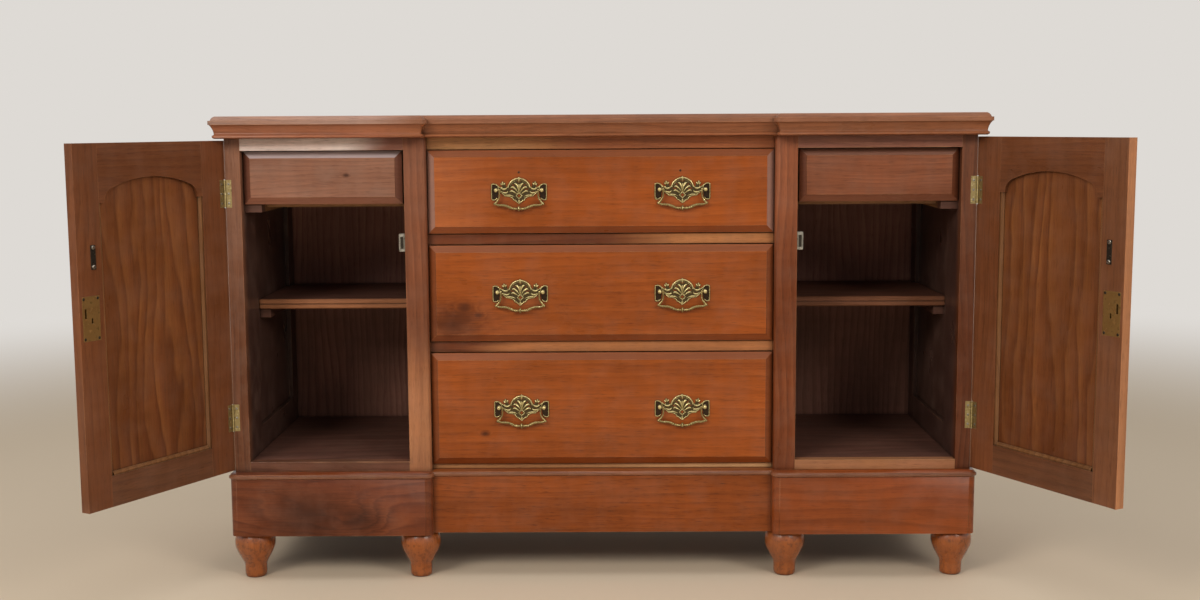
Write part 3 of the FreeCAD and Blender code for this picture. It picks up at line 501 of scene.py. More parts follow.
        # painted light and shade on sloping faces: upward, sideways and downward faces get their own tones
        if self.bevel_shading:
            up = add("ShaderNodeSeparateXYZ", {"Vector": normal}, "Z")
            down = add("ShaderNodeMath", {0: up, 1: -1.0}, operation="MULTIPLY")
            aside = add("ShaderNodeSeparateXYZ", {"Vector": normal}, "X")
            aside = add("ShaderNodeMath", {0: aside}, operation="ABSOLUTE")
            slopes = (up, aside, down)
            for slope, (tone, most) in zip(slopes, self.bevel_shading):
                share = add("ShaderNodeMapRange", {"Value": slope, "From Min": 0.12, "From Max": 0.28,
                                                   "To Max": most})
                colour = add("ShaderNodeMix", {"Factor": share, UNDER: colour, OVER: linear(tone)},
                             **COLOURS)
        rounded = add("ShaderNodeBevel", {"Radius": self.wear_mm * MM}, samples=4)
        edge = add("ShaderNodeVectorMath", {0: rounded, 1: normal}, "Value", operation="DOT_PRODUCT")
        edge = add("ShaderNodeMapRange", {"Value": edge, "From Min": 0.995, "From Max": 0.88,
                                          "To Max": self.worn})
        patchy = add("ShaderNodeMapRange", {"Value": noise["patch"], "From Min": 0.36, "From Max": 0.6})
        rubbed = add("ShaderNodeMath", {0: edge, 1: patchy}, operation="MULTIPLY")
        colour = add("ShaderNodeMix", {"Factor": rubbed, UNDER: colour, OVER: linear(self.wear)}, **COLOURS)
        # painted shade: ambient occlusion darkens corners and gaps, partly grime
        corner = add("ShaderNodeAmbientOcclusion", {"Distance": self.corner_mm * MM}, "AO", samples=4)
        darkening = add("ShaderNodeMapRange", {"Value": corner, "From Min": 0.3, "From Max": 0.85,
                                          "To Min": 1 - self.grime_and_shade, "To Max": 1.0})
        return add("ShaderNodeHueSaturation", {"Value": darkening, "Color": colour})

    def shade(self, tree: Tree) -> Socket:
        """Build the nodes of the wood.

        Args:
            tree: Empty node tree of the material.

        Returns:
            Output of the shader.
        """
        add = partial(add_node, tree)
        grain, turn, shift = self.grain_space(tree)
        noise = self.patterns(tree, grain)
        colour = self.aged_and_shaded(tree, self.heartwood(tree, grain, noise, turn, shift), noise)
        rough = add("ShaderNodeMapRange", {"Value": noise["mottle"], "From Min": 0.25, "From Max": 0.75,
                                           "To Min": self.roughness - 0.07, "To Max": self.roughness + 0.09})
        height = add("ShaderNodeMath", {0: noise["fibre"], 1: noise["pore"]}, operation="SUBTRACT")
        relief = add("ShaderNodeBump", {"Height": height, "Strength": 0.3, "Distance": self.relief_mm * MM})
        return add("ShaderNodeBsdfPrincipled", {"Base Color": colour, "Roughness": rough, "Normal": relief,
                                                "Specular IOR Level": self.specular,
                                                "Coat Weight": self.coat,
                                                "Coat Roughness": self.coat_roughness})


@dataclass(frozen=True)
class OldMetal(Finish):
    """Stamped or cast metal that has dulled, with dark tarnish in its hollows and bright rubbed ridges.

    A metallic value below 1 stands for the dull film, which scatters part of the light. Where ground_y gives
    the front of a stamped sheet, that ground is dark, tarnish with painted shade, and what stands proud of it
    is bright, rubbed brass with a painted highlight. tab_x gives the middle of a handle and the distance from
    it at which the end tabs start, whose ground is darker still, more painted shade. Bright arrises are
    rubbed wear with painted highlights.
    """

    bright: str = "#F2E8BE"
    body: str = "#B6A56E"
    tarnish: str = "#4A3920"
    roughness: float = 0.34
    ridge_mm: float = 0.6
    hollow_mm: float = 4.0
    spots_mm: float = 4.0
    ground_y: float | None = None
    ground_reach: tuple[float, float] = (0.9, 0.2)
    ground_share: float = 0.75
    proud_reach: tuple[float, float] = (0.6, 1.3)
    proud_share: float = 0.8
    tab_x: tuple[float, float] = (0.0, 0.0)
    tab_blend: float = 3.0
    tab_dark: tuple[float, float] = (1.1, 1.3)
    relief_mm: float = 0.15
    metallic: float = 1.0

    def shade(self, tree: Tree) -> Socket:
        """Build the nodes of the metal.

        Args:
            tree: Empty node tree of the material.

        Returns:
            Output of the shader.
        """
        add = partial(add_node, tree)
        place = add("ShaderNodeTexCoord", out="Object")
        cloud = add("ShaderNodeTexNoise", {"Vector": place, "Scale": 1 / (self.spots_mm * MM), "Detail": 4.0,
                                           "Roughness": 0.6})
        colour = add("ShaderNodeValToRGB", {"Fac": cloud},
                     stops=((0.28, self.tarnish), (0.7, self.bright), (0.4, self.body), (0.58, self.body)))
        hollow = add("ShaderNodeAmbientOcclusion", {"Distance": self.hollow_mm * MM}, "AO", samples=6)
        darkening = add("ShaderNodeMapRange", {"Value": hollow, "From Min": 0.3, "From Max": 0.85, "To Min": 0.92,
                                          "To Max": 0.0})
        # painted shade on the sheet's ground, with tarnish, and a painted highlight on what stands proud
        if self.ground_y is not None:
            depth = add("ShaderNodeSeparateXYZ", {"Vector": place}, "Y")
            shares = []
            for reach, most in ((self.ground_reach, self.ground_share),
                                (self.proud_reach, self.proud_share)):
                start, end = ((self.ground_y - out) * MM for out in reach)
                shares.append(add("ShaderNodeMapRange", {"Value": depth, "From Min": start, "From Max": end,
                                                         "To Max": most}))
            ground, proud = shares
            middle, tab_start = self.tab_x
            across = add("ShaderNodeSeparateXYZ", {"Vector": place}, "X")
            across = add("ShaderNodeMath", {0: across}, operation="ABSOLUTE")
            across = add("ShaderNodeMath", {0: across, 1: middle * MM}, operation="SUBTRACT")
            across = add("ShaderNodeMath", {0: across}, operation="ABSOLUTE")
            tab = add("ShaderNodeMapRange", {"Value": across, "From Min": (tab_start - self.tab_blend) * MM,
                                             "From Max": tab_start * MM, "To Min": self.tab_dark[0],
                                             "To Max": self.tab_dark[1]})
            ground = add("ShaderNodeMath", {0: ground, 1: tab}, operation="MULTIPLY", use_clamp=True)
            darkening = add("ShaderNodeMath", {0: darkening, 1: ground}, operation="MAXIMUM")
            colour = add("ShaderNodeMix", {"Factor": proud, UNDER: colour, OVER: linear(self.bright)},
                         **COLOURS)
        colour = add("ShaderNodeMix", {"Factor": darkening, UNDER: colour, OVER: linear(self.tarnish)}, **COLOURS)
        # painted highlight on the arrises, with rubbed wear, away from the dark hollows
        rounded = add("ShaderNodeBevel", {"Radius": self.ridge_mm * MM}, samples=4)
        normal = add("ShaderNodeNewGeometry", out="Normal")
        edge = add("ShaderNodeVectorMath", {0: rounded, 1: normal}, "Value", operation="DOT_PRODUCT")
        edge = add("ShaderNodeMapRange", {"Value": edge, "From Min": 0.99, "From Max": 0.8, "To Max": 0.7})
        free = add("ShaderNodeMath", {0: 1.0, 1: darkening}, operation="SUBTRACT")
        edge = add("ShaderNodeMath", {0: edge, 1: free}, operation="MULTIPLY")
        colour = add("ShaderNodeMix", {"Factor": edge, UNDER: colour, OVER: linear(self.bright)}, **COLOURS)
        rough = add("ShaderNodeMapRange", {"Value": cloud, "From Min": 0.3, "From Max": 0.7,
                                           "To Min": self.roughness + 0.14, "To Max": self.roughness - 0.06})
        relief = add("ShaderNodeBump", {"Height": cloud, "Strength": 0.25, "Distance": self.relief_mm * MM})
        return add("ShaderNodeBsdfPrincipled", {"Base Color": colour, "Metallic": self.metallic,
                                                "Roughness": rough, "Normal": relief})


@dataclass(frozen=True)
class MouldedPlastic(Finish):
    """Moulded plastic of a cupboard catch, yellowed a little and scuffed matt."""

    body: str = "#98958B"
    dirt: str = "#67635A"
    cloud_mm: float = 6.0
    grit_mm: float = 0.6
    relief_mm: float = 0.05
    roughness: float = 0.5

    def shade(self, tree: Tree) -> Socket:
        """Build the nodes of the plastic.

        Args:
            tree: Empty node tree of the material.

        Returns:
            Output of the shader.
        """
        add = partial(add_node, tree)
        place = add("ShaderNodeTexCoord", out="Object")
        cloud = add("ShaderNodeTexNoise", {"Vector": place, "Scale": 1 / (self.cloud_mm * MM),
                                           "Detail": 3.0})
        colour = add("ShaderNodeValToRGB", {"Fac": cloud}, stops=((0.3, self.dirt), (0.55, self.body)))
        grit = add("ShaderNodeTexNoise", {"Vector": place, "Scale": 1 / (self.grit_mm * MM), "Detail": 2.0})
        relief = add("ShaderNodeBump", {"Height": grit, "Strength": 0.2, "Distance": self.relief_mm * MM})
        return add("ShaderNodeBsdfPrincipled", {"Base Color": colour, "Roughness": self.roughness,
                                                "Normal": relief})


@dataclass(frozen=True)
class PaleFloor(Finish):
    """Plain pale matt floor that runs out into the background."""

    body: str = "#D6C6B0"
    backdrop: str = "#DEDAD5"
    near: float = 1.9
    far: float = 4.6

    def shade(self, tree: Tree) -> Socket:
        """Build the nodes of the floor.

        Args:
            tree: Empty node tree of the material.

        Returns:
            Output of the shader.
        """
        add = partial(add_node, tree)
        place = add("ShaderNodeTexCoord", out="Object")
        matt = add("ShaderNodeBsdfPrincipled", {"Base Color": linear(self.body), "Roughness": 0.85})
        away = add("ShaderNodeVectorMath", {0: place}, "Value", operation="LENGTH")
        away = add("ShaderNodeMapRange", {"Value": away, "From Min": self.near, "From Max": self.far},
                   **SMOOTHSTEP)
        seen = add("ShaderNodeLightPath", out="Is Camera Ray")
        away = add("ShaderNodeMath", {0: away, 1: seen}, operation="MULTIPLY")
        plain = add("ShaderNodeEmission", {"Color": linear(self.backdrop), "Strength": 1.0})
        return add("ShaderNodeMixShader", {0: away, 1: matt, 2: plain})


# settings that several finishes share
FRONT = dict(light="#A85D29", body="#954B1A", dark="#6A300F", rings=0.3, ring_mm=19.0)
# painted light and shade on the drawer fronts' bevels, with a painted reflection on the sides of the pale set
PALE_BEVEL_SHADING = (("#7A4A32", 0.6), ("#97807A", 0.6), ("#5E2A12", 0.55))
DARK_BEVEL_SHADING = (("#7A4A32", 0.6), ("#6E3C24", 0.65), ("#5E2A12", 0.55))
# dark tones of the cupboards' insides: partly the wood's own, partly painted shade
INSIDE = dict(light="#6E4A3E", body="#5C3D33", dark="#382119", wear="#7A5438", worn=0.25, roughness=0.6,
              coat=0.0, bloom_and_sheen=0.12, bloom_and_sheen_tone="#6C584C", grime_and_shade=0.7)
BOX = dict(light="#9A7350", body="#84603F", dark="#5C3F28", wear="#A98A66", worn=0.4, roughness=0.7,
           coat=0.0, bloom_and_sheen=0.1, bloom_and_sheen_tone="#8C8074")
INNER = dict(rings=0.32, ring_mm=9.0)
# the end frames are darkened as painted shade where they face into the cupboards
END = dict(grain=Grain.UPRIGHT, rail_zone=(STILE_Y + 105.0, STILE_Y + 395.0), inside_shade_x=691.0, rings=0.6)


class Finishes:
    """Every finish of the piece.

    A cedar's first tones are those of its early wood, its body and its late wood, and a metal's are bright,
    body and tarnish.
    """

    upper_front = Cedar("cedar_front_upper", **FRONT, seed=3, bevel_shading=PALE_BEVEL_SHADING,
                        fades=(Fade("X", -180.0, -329.0, "#A8623A", 0.7, 40.0),))
    middle_front = Cedar("cedar_front_middle", **FRONT, seed=5, bevel_shading=DARK_BEVEL_SHADING,
                         knots=(Knot(-263.0, 527.0, 5.0, 3.5), Knot(-284.0, 496.0, 20.0, 2.8),
                                Knot(-236.0, 513.0, 3.5, 3.0)))
    lower_front = Cedar("cedar_front_lower", **FRONT, seed=8, bevel_shading=DARK_BEVEL_SHADING,
                        knots=(Knot(-226.0, 282.0, 3.0, 2.2),))
    # the left inner drawer's greyish top bevel is a painted reflection, and its stronger bloom a painted
    # sheen
    inner_left = Cedar("cedar_inner_front_left", "#A07258", "#8E6350", "#603C2C", **INNER, seed=11,
                       bloom_and_sheen=0.3, knots=(Knot(-483.0, 782.0, 2.4, 2.0),),
                       bevel_shading=(("#B4A8AE", 0.85), ("#64382A", 0.75), ("#74402C", 0.6)))
    inner_right = Cedar("cedar_inner_front_right", "#8E5638", "#7D4A32", "#4E2816", **INNER, seed=41,
                        bloom_and_sheen=0.15, bevel_shading=(("#7A5C52", 0.6), ("#5A301F", 0.7), ("#5E3220", 0.6)))
    # the rails are paler to the right and low down: painted light that offsets the shade under the drawer
    # fronts
    rail = Cedar("cedar_rails", "#7E4628", "#68351D", "#48220F", seed=4, worn=0.6, wear="#B58A5C",
                 wear_mm=2.6, fades=(Fade("X", -270.0, -150.0, "#CE8A58", 0.85, 40.0, (300.0, 560.0)),
                                     Fade("X", 0.0, 180.0, "#E09A62", 0.85, 60.0, (560.0, 900.0)),
                                     Fade("Z", 300.0, 240.0, "#E2A46E", 0.9),
                                     Fade("X", -60.0, 160.0, "#FFC890", 0.9, 60.0, (0.0, 300.0))))
    # the top rail's light tones, paler to the left, are painted light that offsets the cornice's shadow
    top_rail = Cedar("cedar_top_rail", "#B87448", "#AC6640", "#704026", seed=34, grime_and_shade=0.4,
                     fades=(Fade("X", 0.0, -200.0, "#D09C68", 0.9, 50.0),))
    # the near-white tone high on the left wing's rail is a painted reflection, partly dust
    wing_rail = Cedar("cedar_wing_rails", "#9A6A52", "#88594A", "#5C3628", seed=36, worn=0.7, grime_and_shade=0.4,
                      wear="#B58A5C", wear_mm=2.6,
                      fades=(Fade("X", -400.0, -500.0, "#FFF2EE", 0.95, 20.0, (700.0, 900.0)),
                             Fade("X", 100.0, -100.0, "#5D3C2D", 1.0, 0.0, (0.0, 500.0)),
                             Fade("X", 100.0, 420.0, "#B67E54", 1.0, 20.0, (0.0, 500.0))))
    stile = Cedar("cedar_stile_right", "#8A5030", "#71391C", "#4E2713", seed=6, grain=Grain.UPRIGHT,
                  fades=(Fade("Z", 560.0, 760.0, "#985C40", 0.95, 30.0),))
    pale_stile = Cedar("cedar_stile_left", "#865238", "#70412A", "#502C1C", seed=7, streaks=0.45,
                       grain=Grain.UPRIGHT, fades=(Fade("Z", 500.0, 330.0, "#B67C56", 0.95, 30.0),
                                                   Fade("Z", 640.0, 780.0, "#82543F", 0.9, 30.0)))
    # the greyer left end of the top is a painted reflection
    top = Cedar("cedar_top", "#9A6A50", "#8D5D44", "#5C3424", seed=9, coat=0.05, roughness=0.56,
                fades=(Fade("X", -330.0, -450.0, "#A88C80", 0.85, 20.0),))
    cornice = Cedar("cedar_cornice", "#A06444", "#8E5738", "#62341E", seed=10, coat=0.2,
                    fades=(Fade("X", -330.0, -420.0, "#A2654A", 0.9, 20.0),))
    # the left end frame is lighter and greyer than the right, most of all high up, and blooms more: painted
    # sheen, partly bloom
    end_left = Cedar("cedar_end_frame_left", "#7E5038", "#6D422B", "#4C2A1C", **END, seed=12,
                     bloom_and_sheen=0.25, fades=(Fade("Z", 450.0, 760.0, "#A0735C", 0.9, 40.0),))
    end_right = Cedar("cedar_end_frame_right", "#6C3C22", "#592D17", "#3E1D0E", **END, seed=52,
                      fades=(Fade("Z", 450.0, 760.0, "#7A4E38", 0.9, 40.0),))
    # the end panels are darkened as painted shade inside the cupboards
    end_panel = Cedar("cedar_end_panels", "#8A5A40", "#784A32", "#55301F", seed=13, bloom_and_sheen=0.2,
                      grain=Grain.UPRIGHT, inside_shade_x=694.5, rings=0.6)
    plinth_left = Cedar("cedar_plinth_left", "#844728", "#72391D", "#40190C", seed=14, sway_mm=150.0,
                        rings=0.6, ring_mm=26.0, coat=0.2, streaks=0.4,
                        knots=(Knot(-560.0, 128.0, 17.0, 5.0), Knot(-470.0, 122.0, 12.0, 4.0)))
    plinth_right = Cedar("cedar_plinth_right", "#934C22", "#864119", "#55270D", seed=15,
                         sway_mm=110.0, rings=0.45, ring_mm=24.0, coat=0.2)
    plinth_centre = Cedar("cedar_plinth_centre", "#914F22", "#834117", "#5A2B0C", seed=16, rings=0.3,
                          pores=0.6)
    bead = Cedar("cedar_plinth_bead", "#8A5438", "#774931", "#4C281A", seed=17, coat=0.8,
                 roughness=0.24)
    foot = Cedar("cedar_feet", "#B2642A", "#9C521C", "#602C0C", seed=18, grain=Grain.UPRIGHT,
                 flecks=0.55, coat=0.8, roughness=0.24, rings=0.2)
    hidden = Cedar("cedar_sawn", "#86664A", "#70523A", "#4C3524", seed=19, roughness=0.8, coat=0.0,
                   worn=0.3)
    # the back is lighter high up and darker low down, a painted light and shade; its rear face is pale bare
    # wood
    back = Cedar("cedar_back_boards", **(INSIDE | dict(light="#A87868", body="#946659", dark="#64423A")),
                 seed=20, grain=Grain.UPRIGHT,
                 fades=(Fade("Z", 520.0, 440.0, "#6C4838", 0.75),
                        Fade("Y", STILE_Y + 442.0, STILE_Y + 446.0, "#947050", 0.95)))
    inside_deep = Cedar("cedar_inside_upright", **INSIDE, seed=21, grain=Grain.UPRIGHT)
    inside_flat = Cedar("cedar_inside_flat", **INSIDE, seed=22)
    runner = Cedar("cedar_runners", **INSIDE, seed=38,
                   fades=(Fade("Y", STILE_Y + 45.0, STILE_Y + 60.0, "#B08258", 0.9),))
    # the shelves' front edge is pale with polish and painted light, and the right shelf is darkened as
    # painted shade
    shelf = Cedar("cedar_shelves", **INSIDE, seed=37,
                  fades=(Fade("Y", STILE_Y + 156.0, STILE_Y + 149.0, "#B87A50", 0.95),
                         Fade("X", 100.0, 300.0, "#5A3423", 0.7)))
    box = Cedar("cedar_drawer_boxes", **BOX, seed=23, grain=Grain.DEEP)
    plug = Cedar("cedar_plugs", "#4A2617", "#3A1B0E", "#241007", grain=Grain.DEEP)
    brass = OldMetal("brass_stamped", "#D2C48C", "#9A8A58", "#2C1C10", roughness=0.22, metallic=0.6,
                     ground_y=STILE_Y + DRAWER_SETBACK - PLATE_T, tab_x=(155.0, 39.0))
    cast = OldMetal("brass_cast", "#DCD09C", "#8E7E52", "#3E3018", hollow_mm=2.0, roughness=0.24,
                    metallic=0.75)
    plate = OldMetal("brass_lock_plate", "#BEA06A", "#9A7C4C", "#6A522E", roughness=0.44,
                     spots_mm=11.0)
    hinge = OldMetal("brass_hinges", "#D8CA9C", "#A49468", "#4A3C20", roughness=0.4)
    steel = OldMetal("steel_dulled", "#DEDACE", "#8C887E", "#3A3630", roughness=0.34)
    dark_steel = OldMetal("steel_blackened", "#6A645A", "#3C3832", "#1A1714", roughness=0.45)
    plastic = MouldedPlastic("plastic_catch")

    @staticmethod
    def door(side: str) -> dict[str, Cedar]:
        """The wood finishes of one door, with the pattern turned to the open leaf.

        Args:
            side: "left" or "right".

        Returns:
            Finishes by the name of the door's part.
        """
        turn = DOOR_TURN if side == "left" else -DOOR_TURN
        seed = 24 if side == "left" else 48
        tones = dict(light="#80502F", body="#714329", dark="#4C2A16", turn_deg=turn, worn=0.5,
                     wear="#A87650")
        return {
            # tones of the right door's free stile and of its end face, which don't reach the left door; the
            # bright end face is painted light, partly wear
            "stiles": Cedar(f"cedar_door_{side}_stiles", **tones, seed=seed, grain=Grain.UPRIGHT, rings=0.3,
                            fades=(Fade("X", -705.0, -707.0, "#80543A", 0.7),
                                   Fade("X", -760.5, -761.5, "#C88A60", 0.9))),
            # the panel darkens towards the bottom as painted shade, and the lower rail is darker too
            "rails": Cedar(f"cedar_door_{side}_rails", **tones, seed=seed + 1, rings=0.3,
                           fades=(Fade("Z", 320.0, 250.0, "#624331", 0.7),)),
            "panel": Cedar(f"cedar_door_{side}_panel", "#905C32", "#744426", "#4A2612", turn_deg=turn,
                           seed=seed + 2, grain=Grain.UPRIGHT, ring_mm=30.0, rings=0.55, sway_mm=190.0,
                           fades=(Fade("Z", 560.0, 240.0, "#62341A", 0.8, 30.0),)),
            "beads": Cedar(f"cedar_door_{side}_beads", "#8C6440", "#785030", "#4C311C", turn_deg=turn,
                           seed=seed + 3, grain=Grain.UPRIGHT, grime_and_shade=0.8),
        }


@dataclass
class Shape:
    """A mesh that grows from rods, turnings, leaves, boxes and sheets, in millimetres."""

    points: list[Vector] = field(default_factory=list)
    faces: list[tuple[int, ...]] = field(default_factory=list)

    def add(self, points: Iterable[Vector], faces: Iterable[tuple[int, ...]]) -> None:
        """Append points and the faces between them.

        Args:
            points: New corners.
            faces: Faces as indices into the new corners.
        """
        base = len(self.points)
        self.points.extend(points)
        self.faces.extend(tuple(base + i for i in face) for face in faces)

    def rings(self, rings: Sequence[Sequence[Vector]]) -> None:
        """Close a skin over rings of equal length, with both ends filled.

        Args:
            rings: Rings of points, each counter-clockwise as seen from the far end.
        """
        count = len(rings[0])
        faces = []
        for row in range(len(rings) - 1):
            for n in range(count):
                a, b = row * count + n, row * count + (n + 1) % count
                faces.append((a, b, b + count, a + count))
        last = (len(rings) - 1) * count
        faces.append(tuple(reversed(range(count))))
        faces.append(tuple(range(last, last + count)))
        self.add([p for ring in rings for p in ring], faces)

    def rod(self, line: Sequence[Vector], radii: Sequence[float], sides: int = 12) -> None:
        """Add a round rod along a line.

        Args:
            line: Points of the middle line.
            radii: Radius at each point.
            sides: Points round the rod.
        """
        rings = []
        across = Vector((0.0, 1.0, 0.0))
        for n, point in enumerate(line):
            ahead = (line[min(n + 1, len(line) - 1)] - line[max(n - 1, 0)]).normalized()
            across = (across - ahead * across.dot(ahead)).normalized()
            other = ahead.cross(across)
            rings.append([point + (across * math.cos(a) + other * math.sin(a)) * radii[n]
                          for a in (2 * math.pi * k / sides for k in range(sides))])
        self.rings(rings)

    def turning(self, base: Vector, axis: Vector, profile: Sequence[tuple[float, float]],
                sides: int = 24) -> None:
        """Add a turned piece.

        Args:
            base: Start of the axis.
            axis: Direction of the axis.
            profile: Distances along the axis with their radii.
            sides: Points round the piece.
        """
        ahead = axis.normalized()
        across = ahead.orthogonal().normalized()
        other = ahead.cross(across)
        spokes = [across * math.cos(a) + other * math.sin(a)
                  for a in (2 * math.pi * k / sides for k in range(sides))]
        self.rings([[base + ahead * along + spoke * radius for spoke in spokes]
                    for along, radius in profile])

    def leaf(self, line: Sequence[Vector], widths: Sequence[float], rise: float, out: Vector) -> None:
        """Add a ridged leaf that lies on a surface.

        Args:
            line: Points of the midrib.
            widths: Half width at each point.
            rise: Height of the midrib.
            out: Direction away from the surface.
        """
        rings = []
        for n, point in enumerate(line):
            ahead = (line[min(n + 1, len(line) - 1)] - line[max(n - 1, 0)]).normalized()
            side = out.cross(ahead).normalized() * widths[n]
            high = rise * min(1.0, 0.35 + widths[n] / max(widths))
            rings.append([point + side, point + side * 0.5 + out * high * 0.75, point + out * high,
                          point - side * 0.5 + out * high * 0.75, point - side])
        self.rings(rings)

    def box(self, low: Sequence[float], high: Sequence[float], chamfer: float) -> None:
        """Add a box with chamfered edges.

        Args:
            low: Lowest corner.
            high: Highest corner.
            chamfer: Width of the chamfers.
        """
        c = chamfer
        rings = []
        for z, inset in ((low[2], c), (low[2] + c, 0.0), (high[2] - c, 0.0), (high[2], c)):
            x0, x1, y0, y1 = low[0] + inset, high[0] - inset, low[1] + inset, high[1] - inset
            flat = ((x0 + c, y0), (x1 - c, y0), (x1, y0 + c), (x1, y1 - c),
                    (x1 - c, y1), (x0 + c, y1), (x0, y1 - c), (x0, y0 + c))
            rings.append([Vector((x, y, z)) for x, y in flat])
        self.rings(rings)

    def sheet(self, loops: Sequence[Sequence[Vector]], thick: Vector) -> None:
        """Add a flat sheet with holes.

        Args:
            loops: The outline and then the holes.
            thick: Thickness as a vector from the back to the front.
        """
        flat = [p for loop in loops for p in loop]
        total = len(flat)
        faces = []
        for a, b, c in tessellate_polygon([list(loop) for loop in loops]):
            normal = (flat[b] - flat[a]).cross(flat[c] - flat[a])
            front = (a, b, c) if normal.dot(thick) > 0 else (a, c, b)
            faces.append(tuple(i + total for i in front))
            faces.append(tuple(reversed(front)))
        start = 0
        for number, loop in enumerate(loops):
            count = len(loop)
            area = sum((loop[i - 1].cross(loop[i]) for i in range(count)), Vector())
            forward = (area.dot(thick) > 0) == (number == 0)
            for i in range(count):
                a, b = start + i, start + (i + 1) % count
                if not forward:
                    a, b = b, a
                faces.append((a, b, b + total, a + total))
            start += count
        self.add(flat + [p + thick for p in flat], faces)

    def placed(self, place: Callable[[Vector], Vector], mirrored: bool = False) -> "Shape":
        """A copy with every point moved.

        Args:
            place: Gives each point its new place.
            mirrored: Whether the move turns the faces inside out.

        Returns:
            The moved copy.
        """
        faces = [tuple(reversed(f)) for f in self.faces] if mirrored else list(self.faces)
        return Shape([place(p) for p in self.points], faces)

    def object(self, name: str, finish: Finish, body: str, slot: str,
               smooth_deg: float = 35.0) -> bpy.types.Object:
        """Write the shape as an object that rides on a body.

        Args:
            name: Name of the object.
            finish: Finish of the whole shape.
            body: Body that carries it, or "" for none.
            slot: Material slot of the record; not used.
            smooth_deg: Edges flatter than this are shaded smooth.

        Returns:
            The new object, linked to the scene.
        """
        mesh = bpy.data.meshes.new(name)
        mesh.from_pydata([p * MM for p in self.points], [], self.faces)
        mesh.validate()
        mesh.materials.append(finish.material())
        mesh.shade_smooth()
        mesh.set_sharp_from_angle(angle=math.radians(smooth_deg))
        made = bpy.data.objects.new(name, mesh)
        bpy.context.scene.collection.objects.link(made)
        if body:
            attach(made, body)
            LOG.info("%s: %d faces", name, len(mesh.polygons))
        return made


def curved(points: Sequence[Sequence[float]], steps: int = 5) -> list[list[float]]:
    """Draw a smooth line through points.

    Args:
        points: Corners with any number of values each.
        steps: Points from each corner to the next.

    Returns:
        Points along the line, values in the same order.
    """
    line = []
    last = len(points) - 1
    for n in range(last):
        p0, p1, p2, p3 = (points[max(n - 1, 0)], points[n], points[n + 1], points[min(n + 2, last)])
        for k in range(steps):
            t = k / steps
            line.append([0.5 * (2 * b + (c - a) * t + (2 * a - 5 * b + 4 * c - d) * t * t
                                + (3 * b - a - 3 * c + d) * t ** 3) for a, b, c, d in zip(p0, p1, p2, p3)])
    line.append(list(points[last]))
    return line


